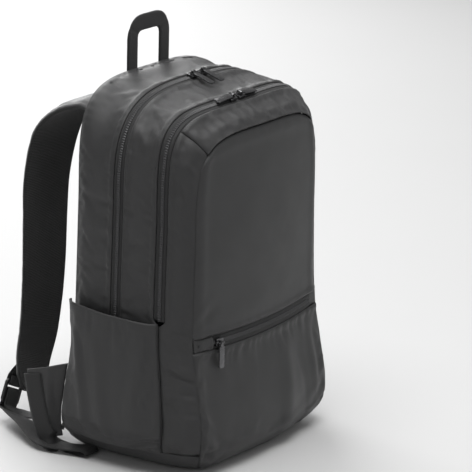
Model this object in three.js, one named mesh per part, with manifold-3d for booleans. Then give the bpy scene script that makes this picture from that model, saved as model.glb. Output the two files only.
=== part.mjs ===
// Laptop backpack, standing on its base with the zips closed, made of sewn panels, padding, webbing and
// hardware.
// Millimetres, +Z up. The front faces -Y, the back panel and the straps face +Y, and the wearer's left is -X.
// The origin lies on the underside of the base, on the bag's middle plane.
import * as THREE from "three";
import { mergeVertices } from "three/addons/utils/BufferGeometryUtils.js";
import Module from "manifold-3d";

const wasm = await Module();
wasm.setup();

// Bag sizes
const bodyHeight = 435;
const bodyWidth = 294;
const bodyDepth = 180;
const backSet = 78;
const frontCrown = 12;
const shoulderDrop = 125;
const baseCornerWidth = 42;
const baseCornerHeight = 50;
const baseRim = 27;
const shoulderTaper = 0.972;
const footTaper = 1.03;

// Cloth and padding
const wall = 1.8;
const lining = 1.2;
const seamGap = 0.3;
const backPad = 8;
const backPuff = 4;
const backSag = 15;
const panelPuff = 5;

// Zips
const tapeWidth = 16;
const coilWidth = 5;
const coilHeight = 2;
const coilEnd = 2;
const pocketZipHeight = 157;
const pocketZipDroop = 4;
const mainZipDrop = 39;
const frontZipRise = 27;
const pocketEndLeft = 26;
const pocketEndRight = 40;
const mainZipFoot = pocketZipHeight - mainZipDrop;
const frontZipFoot = pocketZipHeight + frontZipRise;
const pocketZipLeft = bodyWidth / 2 - pocketEndLeft;
const pocketZipRight = bodyWidth / 2 - pocketEndRight;

// Side pockets
const pocketRise = 181;
const pocketLip = 8;
const pocketBulge = 11;
const pocketFlare = 6;
const pocketFold = 0.4;
const pocketRear = 0.02;

// Tabs at the foot of the back
const tabWall = 2.4;
const tabTop = 106;
const tabFoot = 16;
const tabEndTop = 91;
const tabEndFoot = 12;
const tabTopEnd = 138;
const tabFootEnd = 118;
const tabFlare = 11;
const tabBend = 2.5;

// Lower webbing on the floor
const floorSpread = 154;
const floorReach = 190;
const floorRise = 16;
const floorTurn = { back: 99.5, high: 10 };

// Divider, and the sleeve for a laptop inside on the back panel
const dividerPlay = 1.5;
const sleeveRise = 300;
const sleeveFoot = 24;
const sleeveWidth = 236;
const sleeveDepth = 22;
const sleevePlay = 0.8;
const sleeveLean = 2.4;
const sleeveSquare = 6;

// Shoulder straps
const strapWidth = 73;
const strapPad = 8;
const strapMesh = 3;
const strapSeam = 0.45;
const strapReach = 117;
const strapSpread = 62;

// Webbing and handle
const webbingWidth = 25;
const webbingWall = 1.6;
const handleWidth = 19;
const handleWall = 2.6;
const handleRise = 50;
const handleSpread = 31;
const handleTail = 12;
const handleFold = 9;
const handleCrown = 2;

// Slider and pull
const sliderLength = 12;
const sliderWidth = 9.4;
const sliderHeight = 3.6;
const sliderLift = 0.8;
const barRadius = 0.9;
const postWidth = 2;
const postSink = 1;
const pullLength = 30;
const pullWidth = 8.5;
const pullWall = 1.6;
const pullRing = 0.9;
const pullNeck = 4.4;
const playGap = 0.35;

// Ladder-lock buckle: a frame with three bars
const buckleLength = 28;
const buckleWidth = 34;
const buckleWall = 3.4;
const buckleBar = 3.6;
const buckleRail = 3.4;
const buckleCorner = 4;
const buckleSideways = 99;
const buckleBack = 125;
const buckleHigh = 34;
const barWrap = 1.9;
const barOver = 2.7;
const barTurn = 0.4;
const webbingPlay = 0.2;
const patchLeave = 25;
const patchMeet = 18;
const patchEnd = 19;
const loadMeet = 5;
const loadLift = 0.6;
const tailLeave = 4;
const tailDrop = 0.8;

// The outline is shared out from the middle of the top (0) down both sides to the base seam (1) and on under
// the base to its middle
const topCorner = 0.2;
const overTop = 0.4;
const downSide = 0.9;
const baseFlat = 1.12;
const baseMiddle = 1.3;

// Depth of the front panel's rim at shares of the height
const depthRows = [
  { height: 0.0, depth: 0.81 },
  { height: 0.05, depth: 0.915 },
  { height: 0.12, depth: 0.96 },
  { height: 0.24, depth: 0.915 },
  { height: 0.36, depth: 0.865 },
  { height: 0.6, depth: 0.85 },
  { height: 1.0, depth: 0.85 },
];

// How far the foot of the back stands out, at shares of the height
const sagRows = [
  { height: 0.0, out: 0.55 },
  { height: 0.08, out: 1.0 },
  { height: 0.17, out: 0.75 },
  { height: 0.3, out: 0.1 },
  { height: 0.36, out: 0.0 },
  { height: 1.0, out: 0.0 },
];

// Width, height and squareness of the outline at shares of the depth, from the back panel to the front panel
const girthRows = [
  { across: 0.0, spread: 0.94, rise: 1.01, corner: 4.0 },
  { across: 0.08, spread: 0.975, rise: 1.014, corner: 3.4 },
  { across: 0.2, spread: 0.98, rise: 1.008, corner: 3.0 },
  { across: 0.4, spread: 0.985, rise: 1.0, corner: 3.4 },
  { across: 0.78, spread: 0.96, rise: 0.966, corner: 5.0 },
  { across: 0.9, spread: 0.925, rise: 0.946, corner: 4.8 },
  { across: 1.0, spread: 0.865, rise: 0.912, corner: 4.2 },
];

// Places of the zips and of the divider at shares of the depth
const mainZipAt = 0.4;
const frontZipAt = 0.78;
const dividerAt = 0.66;

// Middle of a shoulder strap from the top down: sideways in shares of strapSpread, backwards in shares of
// strapReach and upwards in shares of bodyHeight, with the turn of its face in degrees
const strapRows = [
  { out: 1.0, back: 0.075, high: 0.912, turn: 0, wide: 1.0 },
  { out: 1.0, back: 0.24, high: 0.924, turn: 0, wide: 1.0 },
  { out: 1.0, back: 0.46, high: 0.905, turn: 3, wide: 1.0 },
  { out: 1.0, back: 0.64, high: 0.868, turn: 8, wide: 1.0 },
  { out: 1.0, back: 0.76, high: 0.815, turn: 12, wide: 1.0 },
  { out: 0.98, back: 0.88, high: 0.69, turn: 10, wide: 1.0 },
  { out: 0.92, back: 0.925, high: 0.565, turn: 7, wide: 1.0 },
  { out: 0.85, back: 0.965, high: 0.43, turn: 6, wide: 1.0 },
  { out: 0.84, back: 0.99, high: 0.33, turn: 5, wide: 0.98 },
  { out: 0.93, back: 0.995, high: 0.24, turn: 4, wide: 0.93 },
  { out: 1.13, back: 0.975, high: 0.175, turn: 2, wide: 0.84 },
  { out: 1.3, back: 0.93, high: 0.118, turn: 0, wide: 0.72 },
  { out: 1.42, back: 0.89, high: 0.084, turn: 0, wide: 0.4 },
];

// Lower webbing down a tab, in shares of tabTopEnd and tabTop, then over the floor and in its free tail, in
// shares of floorSpread, floorReach and floorRise
const tabRun = [
  { back: 0.9348, high: 0.8302, lean: -0.25 },
  { back: 0.8841, high: 0.5189, lean: -0.25 },
  { back: 0.8188, high: 0.2453, lean: -0.35 },
  { back: 0.7681, high: 0.1415, lean: -0.5 },
];
const floorRun = [
  { out: 0.9481, back: 0.4895, high: 0.3438, width: [0.96, -0.2, 0] },
  { out: 0.9221, back: 0.4105, high: 0.125, width: [1, 0, 0] },
  { out: 0.9221, back: 0.3053, high: 0.1, width: [1, 0, 0] },
  { out: 0.9221, back: 0.2579, high: 0.2875, width: [1, 0, 0] },
  { out: 0.9286, back: 0.2947, high: 0.4875, width: [1, 0, 0] },
  { out: 0.9675, back: 0.4211, high: 0.4125, width: [1, 0, 0] },
  { out: 1, back: 0.5895, high: 0.5, width: [1, 0.05, 0] },
  { out: 0.8831, back: 0.8, high: 1, width: [0.9, 0.35, 0.15] },
  { out: 0.7597, back: 1, high: 1, width: [0.9, 0.1, 0.4] },
];
const tailRun = [
  { out: 0.6623, back: 0.9737, high: 0.6875, width: [0.95, 0.1, 0.1] },
  { out: 0.6299, back: 0.8842, high: 0.6875, width: [1, 0, 0] },
  { out: 0.6104, back: 0.7895, high: 1, width: [1, 0, 0] },
];

/** A cloth, plastic or metal finish. */
function finish(shade, roughness, metalness = 0) {
  return new THREE.MeshStandardMaterial({ color: new THREE.Color(...shade), roughness, metalness });
}

const finishes = {
  nylon: finish([0.036, 0.036, 0.037], 0.62),
  mesh: finish([0.012, 0.012, 0.012], 0.9),
  webbing: finish([0.024, 0.024, 0.025], 0.75),
  lining: finish([0.17, 0.2, 0.21], 0.7),
  zip: finish([0.02, 0.02, 0.021], 0.55),
  metal: finish([0.09, 0.09, 0.095], 0.35, 0.9),
  plastic: finish([0.012, 0.012, 0.013], 0.4),
};

const part = new THREE.Group();
const upward = new THREE.Vector3(0, 0, 1);

/** Keeps a geometry's positions alone, with shared corners merged. */
function bare(geometry) {
  const copy = geometry.clone();
  copy.deleteAttribute("normal");
  copy.deleteAttribute("uv");
  return mergeVertices(copy, 1e-4);
}

/** Turns a closed geometry the right way out. */
function outward(geometry) {
  const corners = geometry.index.array;
  const at = (k) => new THREE.Vector3().fromBufferAttribute(geometry.attributes.position, corners[k]);
  let volume = 0;
  for (let k = 0; k < corners.length; k += 3) {
    volume += at(k).dot(at(k + 1).cross(at(k + 2)));
  }
  if (volume < 0) {
    for (let k = 0; k < corners.length; k += 3) {
      [corners[k + 1], corners[k + 2]] = [corners[k + 2], corners[k + 1]];
    }
  }
  geometry.computeVertexNormals();
  return geometry;
}

/** Adds a closed geometry to the bag as one named piece. */
function piece(name, geometry, material) {
  const mesh = new THREE.Mesh(outward(bare(geometry)), material);
  mesh.name = name;
  part.add(mesh);
}

/** Adds a piece of the bag's +X side and its mirror image on the -X side. */
function pair(name, geometry, material) {
  piece(`${name}_right`, geometry, material);
  piece(`${name}_left`, geometry.clone().scale(-1, 1, 1), material);
}

/** Bends a box: each corner is placed by its column, its row and its side, 0 inside and 1 outside. */
function bend(columns, rows, place) {
  const box = bare(new THREE.BoxGeometry(1, 1, 1, columns.length - 1, rows.length - 1, 1));
  const corners = box.attributes.position;
  for (let k = 0; k < corners.count; k += 1) {
    const column = Math.round((corners.getX(k) + 0.5) * (columns.length - 1));
    const row = Math.round((corners.getY(k) + 0.5) * (rows.length - 1));
    const spot = place(columns[column], rows[row], corners.getZ(k) + 0.5);
    corners.setXYZ(k, spot.x, spot.y, spot.z);
  }
  return box;
}

/** Even steps from one value to another. */
function steps(from, to, count) {
  return Array.from({ length: count + 1 }, (_, k) => from + ((to - from) * k) / count);
}

/** Smooth value of one column of a table at a key. */
function follow(table, key, column, at) {
  const found = table.findIndex((row, k) => k > 0 && at <= row[key]);
  const k = found < 0 ? table.length - 1 : found;
  const [low, high] = [table[k - 1], table[k]];
  const [before, after] = [table[k - 2] ?? low, table[k + 1] ?? high];
  const span = high[key] - low[key];
  const t = (at - low[key]) / span;
  const leave = ((high[column] - before[column]) / (high[key] - before[key])) * span;
  const arrive = ((after[column] - low[column]) / (after[key] - low[key])) * span;
  const slopes = t * (1 - t) * ((1 - t) * leave - t * arrive);
  return low[column] * (1 + 2 * t) * (1 - t) ** 2 + high[column] * t * t * (3 - 2 * t) + slopes;
}

/** Rises from 0 at both ends of a share to 1 between them. */
function swell(share, power = 0.6) {
  return Math.max(0, Math.sin(Math.PI * THREE.MathUtils.clamp(share, 0, 1))) ** power;
}

// Body outline and shell

const rimAngle = Math.acos(1 - baseRim / baseCornerHeight);

/** Depth coordinate of the front panel at a point of the front view. */
function frontFace(x, z) {
  const rim = bodyDepth * follow(depthRows, "height", "depth", z / bodyHeight);
  return backSet - rim - frontCrown * (1 - (2 * x / bodyWidth) ** 2);
}

/** Depth coordinate of the back panel's rim at a height. */
function backFace(z) {
  return backSet + backSag * follow(sagRows, "height", "out", z / bodyHeight);
}

/** Point of the outline in the front view, at a share of the depth. */
function outline(along, across) {
  const spread = (follow(girthRows, "across", "spread", across) * bodyWidth) / 2;
  const shoulder = follow(girthRows, "across", "rise", across) * bodyHeight - shoulderDrop;
  const foot = spread * footTaper - baseCornerWidth;
  const share = Math.abs(along);
  let x;
  let z;
  if (share < overTop) {
    const angle = (1 - share / overTop) * (Math.PI / 2);
    const [c, s] = [Math.cos(angle), Math.sin(angle)];
    const power = follow(girthRows, "across", "corner", across);
    const round = (c ** power + s ** power) ** (-1 / power);
    x = spread * shoulderTaper * c * round;
    z = shoulder + shoulderDrop * s * round;
  } else if (share < downSide) {
    const t = (share - overTop) / (downSide - overTop);
    x = spread * THREE.MathUtils.lerp(shoulderTaper, footTaper, t);
    z = THREE.MathUtils.lerp(shoulder, baseCornerHeight, t);
  } else if (share < baseFlat) {
    const onSide = THREE.MathUtils.mapLinear(share, downSide, 1, Math.PI / 2, rimAngle);
    const onBase = THREE.MathUtils.mapLinear(share, 1, baseFlat, rimAngle, 0);
    const angle = share < 1 ? onSide : onBase;
    x = foot + baseCornerWidth * Math.sin(angle);
    z = baseCornerHeight * (1 - Math.cos(angle));
  } else {
    x = (foot * (baseMiddle - share)) / (baseMiddle - baseFlat);
    z = 0;
  }
  return new THREE.Vector2((along < 0 ? -1 : 1) * x, z);
}

/** Outline moved inwards by a distance. */
function inset(along, across, distance) {
  const step = 1e-4;
  const way = outline(along + step, across).sub(outline(along - step, across)).normalize();
  return outline(along, across).add(new THREE.Vector2(way.y, -way.x).multiplyScalar(distance));
}

/** Point of the bag's shell, a distance deep under its outer face. */
function shell(along, across, deep = 0) {
  const { x, y: z } = inset(along, across, deep);
  return new THREE.Vector3(x, THREE.MathUtils.lerp(backFace(z) - deep, frontFace(x, z) + deep, across), z);
}

/** Outward normal of the shell. */
function shellNormal(along, across) {
  const step = 1e-3;
  const onward = shell(along + step, across).sub(shell(along - step, across));
  const forward = shell(along, across + step).sub(shell(along, across - step));
  return forward.cross(onward).normalize();
}

/** Point at a height over the shell's outer face. */
function overShell(along, across, height) {
  return shell(along, across).addScaledVector(shellNormal(along, across), height);
}

/** Share of the way down the outline where it passes a height. */
function alongAt(height, across) {
  const shoulder = follow(girthRows, "across", "rise", across) * bodyHeight - shoulderDrop;
  return THREE.MathUtils.mapLinear(height, shoulder, baseCornerHeight, overTop, downSide);
}

// Columns that the panels share, so that neighbours meet at the same corners

const windowTop = alongAt(pocketZipHeight + tapeWidth / 2, 1);
const windowFoot = alongAt(pocketZipHeight - tapeWidth / 2, 1);
const frontZipEnd = alongAt(frontZipFoot, frontZipAt);
const mainZipEnd = alongAt(mainZipFoot, mainZipAt);
const taperEnd = windowTop;
const halfColumns = [
  ...steps(0, topCorner, 5),
  ...steps(topCorner, overTop, 5).slice(1),
  ...steps(overTop, frontZipEnd, 3).slice(1),
  windowTop,
  windowFoot,
  mainZipEnd,
  ...steps(mainZipEnd, downSide, 2).slice(1),
  ...steps(downSide, 1, 4).slice(1),
];
const allColumns = [...halfColumns.slice(1).map((share) => -share).reverse(), ...halfColumns];

/** The shared columns from one share of the outline to another, just short of the seams at its ends. */
function columnsBetween(from, to) {
  const trim = seamGap / 2 / bodyHeight;
  const columns = allColumns.filter((share) => share > from - 1e-6 && share < to + 1e-6);
  columns[0] += trim;
  columns[columns.length - 1] -= trim;
  return columns;
}

const halfGap = seamGap / 2 / bodyDepth;
const halfTape = tapeWidth / 2 / bodyDepth;
const halfCoil = coilWidth / 2 / bodyDepth;

/** A cloth strip of the shell between two edges, each at a share of the depth for a share of the outline. */
function band(from, to, rear, front, rows) {
  return bend(columnsBetween(from, to), rows, (along, row, side) => {
    const across = THREE.MathUtils.lerp(rear(along) + halfGap, front(along) - halfGap, row);
    return shell(along, across, wall * (1 - side));
  });
}

/** Gives the same share of the depth everywhere. */
function level(across) {
  return () => across;
}

/** Share of the depth of a front zip's edge, which tapers into the seam below the zip's foot. */
function frontEdge(offset) {
  return (along) => {
    const t = THREE.MathUtils.clamp((Math.abs(along) - frontZipEnd) / (taperEnd - frontZipEnd), 0, 1);
    return frontZipAt + offset * (1 - t);
  };
}

/** A zip round the bag: its tape in the shell and its coil on the tape. */
function roundZip(name, at, end) {
  piece(`${name}_tape`, band(-end, end, level(at - halfTape), level(at + halfTape), [0, 1]), finishes.zip);
  const coil = bend(columnsBetween(-end, end), [at - halfCoil, at + halfCoil], (along, across, side) =>
    overShell(along, across, seamGap + coilHeight * side),
  );
  piece(`${name}_coil`, coil, finishes.zip);
}

const rearRows = [0, 0.12, 0.3, 0.6, 1];
const rearEdge = level(mainZipAt - halfTape);
piece("rear_gusset", band(-mainZipEnd, mainZipEnd, level(0), rearEdge, rearRows), finishes.nylon);
roundZip("main_zip", mainZipAt, mainZipEnd);
piece(
  "middle_gusset",
  band(-mainZipEnd, mainZipEnd, level(mainZipAt + halfTape), frontEdge(-halfTape), steps(0, 1, 3)),
  finishes.nylon,
);
roundZip("front_zip", frontZipAt, frontZipEnd);
const rimRows = [0, 0.45, 0.8, 1];
piece("top_band", band(-topCorner, topCorner, frontEdge(halfTape), level(1), rimRows), finishes.nylon);
pair("side_strip", band(topCorner, 1, frontEdge(halfTape), level(1), rimRows), finishes.nylon);
const sideRows = [0, 0.06, 0.15, 0.3, 0.5, 0.75, 1];
pair("side_panel", band(mainZipEnd, 1, level(0), level(frontZipAt), sideRows), finishes.nylon);

// Base

const underColumns = [...steps(1, baseFlat, 3), ...steps(baseFlat, baseMiddle, 2).slice(1)];
const baseColumns = [...underColumns, ...underColumns.slice(0, -1).map((share) => -share).reverse()];

/** Base columns as shares from the left edge (0) to the right edge (1). */
const baseShares = steps(0, 1, baseColumns.length - 1);

/** Point under the base: its place along the outline for a share from the left edge to the right edge. */
function underAlong(u) {
  const k = u * (baseColumns.length - 1);
  const low = Math.min(Math.floor(k), baseColumns.length - 2);
  const [from, to] = [Math.abs(baseColumns[low]), Math.abs(baseColumns[low + 1])];
  const share = THREE.MathUtils.lerp(from, to, k - low);
  return u < 0.5 ? -share : share;
}

const baseDepth = steps(0, 1, 4).map((share) => THREE.MathUtils.lerp(halfGap, 1 - halfGap, share));
const baseTrim = seamGap / 2 / bodyWidth;
piece(
  "base_panel",
  bend(baseShares, baseDepth, (u, across, side) =>
    shell(underAlong(THREE.MathUtils.clamp(u, baseTrim, 1 - baseTrim)), across, wall * (1 - side)),
  ),
  finishes.nylon,
);

// Front and back panels

/** Smooth patch between four edges of the front view: each gives a point for a share along it. */
function patch({ foot, top, left, right }) {
  const corners = [foot(0), foot(1), top(0), top(1)];
  return (u, v) => {
    const across = left(v).multiplyScalar(1 - u).addScaledVector(right(v), u);
    const upright = foot(u).multiplyScalar(1 - v).addScaledVector(top(u), v);
    const shares = [(1 - u) * (1 - v), u * (1 - v), (1 - u) * v, u * v];
    corners.forEach((corner, k) => across.addScaledVector(corner, -shares[k]));
    return across.add(upright);
  };
}

/** Height of the pocket zip's edges: the line hangs a little in the middle. */
function windowLine(edge, x) {
  const half = outline(windowTop, 1).x;
  return pocketZipHeight + edge * (tapeWidth / 2) - pocketZipDroop * (1 - (x / half) ** 2);
}

/** Point of a pocket zip edge, from the left seam to the right seam. */
function windowEdge(edge, u, deep) {
  const rim = inset(edge > 0 ? windowTop : windowFoot, 1, deep);
  const x = THREE.MathUtils.lerp(-rim.x, rim.x, u);
  return new THREE.Vector2(x, windowLine(edge, x));
}

/** Share along one side of a patch for each of the shared columns that it meets. */
function sideShares(from, to) {
  const columns = allColumns.filter((share) => share > from - 1e-6 && share < to + 1e-6);
  return columns.map((share) => (to - share) / (to - from)).reverse();
}

/** A panel of the front or the back: a patch with its own thickness, puffed out between its seams. */
function facePanel(edges, columns, rows, thickness, puff, depthAt) {
  const trimU = seamGap / 2 / bodyWidth;
  const trimV = seamGap / 2 / bodyHeight;
  const [inner, outer] = [patch(edges(thickness)), patch(edges(0))];
  return bend(columns, rows, (column, row, side) => {
    const u = THREE.MathUtils.clamp(column, trimU, 1 - trimU);
    const v = THREE.MathUtils.clamp(row, trimV, 1 - trimV);
    const { x, y: z } = side ? outer(u, v) : inner(u, v);
    const deep = thickness * (1 - side);
    return new THREE.Vector3(x, depthAt(x, z, deep, puff * swell(u) * swell(v)), z);
  });
}

const frontLevel = (x, z, deep, puff) => frontFace(x, z) + deep - puff;
const backLevel = (x, z, deep, puff) => backFace(z) - deep + (deep > 0 ? 0 : puff);

/** Edges of the upper front panel, a distance deep. */
function upperEdges(deep) {
  return {
    foot: (u) => windowEdge(1, u, deep),
    top: (u) => inset(THREE.MathUtils.lerp(-topCorner, topCorner, u), 1, deep),
    left: (v) => inset(-THREE.MathUtils.lerp(windowTop, topCorner, v), 1, deep),
    right: (v) => inset(THREE.MathUtils.lerp(windowTop, topCorner, v), 1, deep),
  };
}

/** Edges of the lower front panel, a distance deep. */
function lowerEdges(deep) {
  return {
    foot: (u) => inset(underAlong(u), 1, deep),
    top: (u) => windowEdge(-1, u, deep),
    left: (v) => inset(-THREE.MathUtils.lerp(1, windowFoot, v), 1, deep),
    right: (v) => inset(THREE.MathUtils.lerp(1, windowFoot, v), 1, deep),
  };
}

/** Edges of the back panel, a distance deep. */
function backEdges(deep) {
  return {
    foot: (u) => inset(underAlong(u), 0, deep),
    top: (u) => inset(THREE.MathUtils.lerp(-topCorner, topCorner, u), 0, deep),
    left: (v) => inset(-THREE.MathUtils.lerp(1, topCorner, v), 0, deep),
    right: (v) => inset(THREE.MathUtils.lerp(1, topCorner, v), 0, deep),
  };
}

piece(
  "front_upper_panel",
  facePanel(upperEdges, baseShares, sideShares(topCorner, windowTop), wall, panelPuff, frontLevel),
  finishes.nylon,
);
piece(
  "front_lower_panel",
  facePanel(lowerEdges, baseShares, sideShares(windowFoot, 1), wall, panelPuff, frontLevel),
  finishes.nylon,
);
piece(
  "back_panel",
  facePanel(backEdges, baseShares, sideShares(topCorner, 1), backPad, backPuff, backLevel),
  finishes.nylon,
);

// Pocket zip

/** A piece of the pocket zip's window between two places across the front. */
function windowPiece(from, to, count) {
  const rows = [seamGap / 2 / tapeWidth, 1 - seamGap / 2 / tapeWidth];
  return bend(steps(from, to, count), rows, (x, row, side) => {
    const z = THREE.MathUtils.lerp(windowLine(-1, x), windowLine(1, x), row);
    return new THREE.Vector3(x, frontFace(x, z) + wall * (1 - side), z);
  });
}

const windowHalf = inset((windowTop + windowFoot) / 2, 1, wall).x - seamGap;
piece("pocket_zip_tape", windowPiece(-pocketZipLeft, pocketZipRight, 10), finishes.zip);
piece("pocket_zip_end_left", windowPiece(-windowHalf, -pocketZipLeft - seamGap, 1), finishes.nylon);
piece("pocket_zip_end_right", windowPiece(pocketZipRight + seamGap, windowHalf, 1), finishes.nylon);
piece(
  "pocket_zip_coil",
  bend(steps(-pocketZipLeft, pocketZipRight, 10), [-1, 1], (column, edge, side) => {
    const x = THREE.MathUtils.clamp(column, coilEnd - pocketZipLeft, pocketZipRight - coilEnd);
    const z = windowLine(0, x) + (edge * coilWidth) / 2;
    return new THREE.Vector3(x, frontFace(x, z) - seamGap - coilHeight * side, z);
  }),
  finishes.zip,
);

// Side pockets

/** Height of a side pocket's lip: it rises towards the back. */
function lipHeight(share) {
  return pocketRise + pocketLip * (1 - share) ** 1.5;
}

/** Place on the shell under a side pocket: share from its rear seam, down 0 at its lip and 1 at the base. */
function pocketSpot(share, down) {
  const across = THREE.MathUtils.lerp(pocketRear, frontZipAt - halfGap, share);
  const lip = alongAt(lipHeight(share), across);
  const along =
    down < 1 ? THREE.MathUtils.lerp(lip, downSide, down) : THREE.MathUtils.lerp(downSide, 1, down - 1);
  return [along, across];
}

const pocketTrim = (2 * seamGap) / bodyHeight;

/** A side panel's row as a share of the pocket's depth. */
function pocketShare(row) {
  return THREE.MathUtils.clamp((row * frontZipAt - pocketRear) / (frontZipAt - pocketRear), 0, 1);
}

pair(
  "side_pocket",
  bend(sideRows.map(pocketShare), [...steps(0, 1, 5), ...steps(1, 2, 4).slice(1)], (share, down, side) => {
    const [along, across] = pocketSpot(share, down);
    const away = pocketBulge * swell(share, pocketFold) * (1 - (down / 2) ** 3) ** 0.5;
    const flare = pocketFlare * (1 - share) ** 2 * Math.max(0, 1 - down) ** 2;
    return overShell(Math.min(along, 1 - pocketTrim), across, 2 * seamGap + away + flare + wall * side);
  }),
  finishes.nylon,
);

// Divider and laptop sleeve

const dividerInset = wall + dividerPlay;

/** Edges of the divider, just inside the shell. */
function dividerEdges() {
  return {
    foot: (u) => inset(underAlong(u), dividerAt, dividerInset),
    top: (u) => inset(THREE.MathUtils.lerp(-topCorner, topCorner, u), dividerAt, dividerInset),
    left: (v) => inset(-THREE.MathUtils.lerp(1, topCorner, v), dividerAt, dividerInset),
    right: (v) => inset(THREE.MathUtils.lerp(1, topCorner, v), dividerAt, dividerInset),
  };
}

const dividerSpot = patch(dividerEdges());
piece(
  "divider_panel",
  bend(steps(0, 1, 8), steps(0, 1, 10), (u, v, side) => {
    const { x, y: z } = dividerSpot(u, v);
    const depth = THREE.MathUtils.lerp(backFace(z), frontFace(x, z), dividerAt);
    return new THREE.Vector3(x, depth + lining * (0.5 - side), z);
  }),
  finishes.lining,
);
piece(
  "laptop_sleeve",
  bend(steps(-1, 1, 8), steps(sleeveFoot, sleeveRise, 9), (u, z, side) => {
    const lean = swell(0.5 + (0.5 * (z - sleeveFoot)) / (sleeveLean * sleeveRise), 1);
    const out = sleeveDepth * (1 - u ** sleeveSquare) ** 0.5 * lean;
    const depth = backFace(z) - backPad - sleevePlay - out - lining * side;
    return new THREE.Vector3((u * sleeveWidth) / 2, depth, z);
  }),
  finishes.lining,
);

// Ribbons: webbing, straps and the handle

/** A strip along a smooth line through points, lying across the given directions. */
function ribbon(points, widths, place, columns, perSpan) {
  const line = new THREE.CatmullRomCurve3(points, false, "centripetal");
  const facing = new THREE.CatmullRomCurve3(widths, false, "centripetal");
  const count = (points.length - 1) * perSpan;
  return bend(columns, steps(0, 1, count), (column, t, side) => {
    const tangent = line.getTangent(t);
    const normal = facing.getPoint(t).cross(tangent).normalize();
    const width = tangent.clone().cross(normal).normalize();
    const { across, lift } = place(column, t, side);
    return line.getPoint(t).addScaledVector(width, across).addScaledVector(normal, lift);
  });
}

/** A webbing of even width and thickness through points. */
function webbing(points, widths, width = webbingWidth, thickness = webbingWall, perSpan = 2) {
  const place = (column, t, side) => ({ across: (column * width) / 2, lift: thickness * (side - 0.5) });
  return ribbon(points, widths, place, [-1, 1], perSpan);
}

/** Value of a strap table's column at a share of the strap's length. */
function strapValue(column, t) {
  const k = Math.min(Math.floor(t * (strapRows.length - 1)), strapRows.length - 2);
  return THREE.MathUtils.lerp(strapRows[k][column], strapRows[k + 1][column], t * (strapRows.length - 1) - k);
}

const strapPoints = strapRows.map(
  ({ out, back, high }) =>
    new THREE.Vector3(out * strapSpread, backSet + back * strapReach, high * bodyHeight),
);
const strapWidths = strapRows.map(({ turn }) => {
  const angle = THREE.MathUtils.degToRad(turn);
  return new THREE.Vector3(Math.cos(angle), Math.sin(angle), 0);
});
const strapColumns = [-1, -0.8, 0, 0.8, 1];

/** A layer of a shoulder strap between two heights over its middle, thinner towards its edges. */
function strapLayer(low, high) {
  const place = (column, t, side) => {
    const thin = 1 - 0.5 * Math.abs(column) ** 4;
    return { across: (column * strapValue("wide", t) * strapWidth) / 2, lift: (side ? high : low) * thin };
  };
  return ribbon(strapPoints, strapWidths, place, strapColumns, 2);
}

pair("shoulder_strap", strapLayer(strapSeam, strapPad), finishes.nylon);
pair("strap_mesh", strapLayer(-strapMesh, -strapSeam), finishes.mesh);

// Buckle frame: down along the webbing, sideways across it, outwards away from the wearer

const buckleSpot = new THREE.Vector3(buckleSideways, backSet + buckleBack, buckleHigh);
const buckleDown = new THREE.Vector3(0.42, 0, -0.9).normalize();
const buckleOut = new THREE.Vector3(0, 1, 0);
const buckleSide = new THREE.Vector3().crossVectors(buckleDown, buckleOut).normalize();

/** Point near the buckle: a distance down along it and a distance out of its plane. */
function buckleAt(down, out) {
  return buckleSpot.clone().addScaledVector(buckleDown, down).addScaledVector(buckleOut, out);
}

/** A closed geometry as a solid for boolean operations. */
function solid(geometry) {
  const closed = outward(bare(geometry));
  return new wasm.Manifold(
    new wasm.Mesh({
      numProp: 3,
      vertProperties: new Float32Array(closed.attributes.position.array),
      triVerts: new Uint32Array(closed.index.array),
    }),
  );
}

/** The geometry of a boolean solid. */
function geometryOf(made) {
  const mesh = made.getMesh();
  const geometry = new THREE.BufferGeometry();
  geometry.setAttribute("position", new THREE.BufferAttribute(new Float32Array(mesh.vertProperties), 3));
  geometry.setIndex(new THREE.BufferAttribute(new Uint32Array(mesh.triVerts), 1));
  return geometry;
}

/** A box of given sizes with its middle at a place. */
function block(x, y, z, at = new THREE.Vector3()) {
  return new THREE.BoxGeometry(x, y, z).translate(at.x, at.y, at.z);
}

/** A plate with rounded corners, its middle at the origin. */
function roundedPlate(width, height, thickness, radius) {
  const [w, h] = [width / 2 - radius, height / 2 - radius];
  const shape = new THREE.Shape();
  shape.absarc(w, h, radius, 0, Math.PI / 2);
  shape.absarc(-w, h, radius, Math.PI / 2, Math.PI);
  shape.absarc(-w, -h, radius, Math.PI, 1.5 * Math.PI);
  shape.absarc(w, -h, radius, 1.5 * Math.PI, 2 * Math.PI);
  const plate = new THREE.ExtrudeGeometry(shape, { depth: thickness, bevelEnabled: false, curveSegments: 3 });
  return plate.translate(0, 0, -thickness / 2);
}

const buckleSlot = (buckleLength - 3 * buckleBar) / 2;
const slotAt = (buckleBar + buckleSlot) / 2;
let buckle = solid(roundedPlate(buckleWidth, buckleLength, buckleWall, buckleCorner));
for (const place of [-slotAt, slotAt]) {
  const middle = new THREE.Vector3(0, place, 0);
  const hole = block(buckleWidth - 2 * buckleRail, buckleSlot, 2 * buckleWall, middle);
  buckle = buckle.subtract(solid(hole));
}
const [buckleUp, buckleIn] = [buckleDown.clone().negate(), buckleOut.clone().negate()];
const buckleFrame = new THREE.Matrix4().makeBasis(buckleSide, buckleUp, buckleIn);
buckleFrame.setPosition(buckleSpot);
pair("strap_buckle", geometryOf(buckle).applyMatrix4(buckleFrame), finishes.plastic);

const face = buckleWall / 2 + seamGap + webbingWall / 2 + webbingPlay;
const upperBar = -buckleLength / 2 + buckleBar;
const middleBar = -buckleBar / 2;
const strapFace = strapPad + 3 * seamGap + webbingWall / 2;

const strapLine = new THREE.CatmullRomCurve3(strapPoints, false, "centripetal");
const strapFacing = new THREE.CatmullRomCurve3(strapWidths, false, "centripetal");

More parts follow.
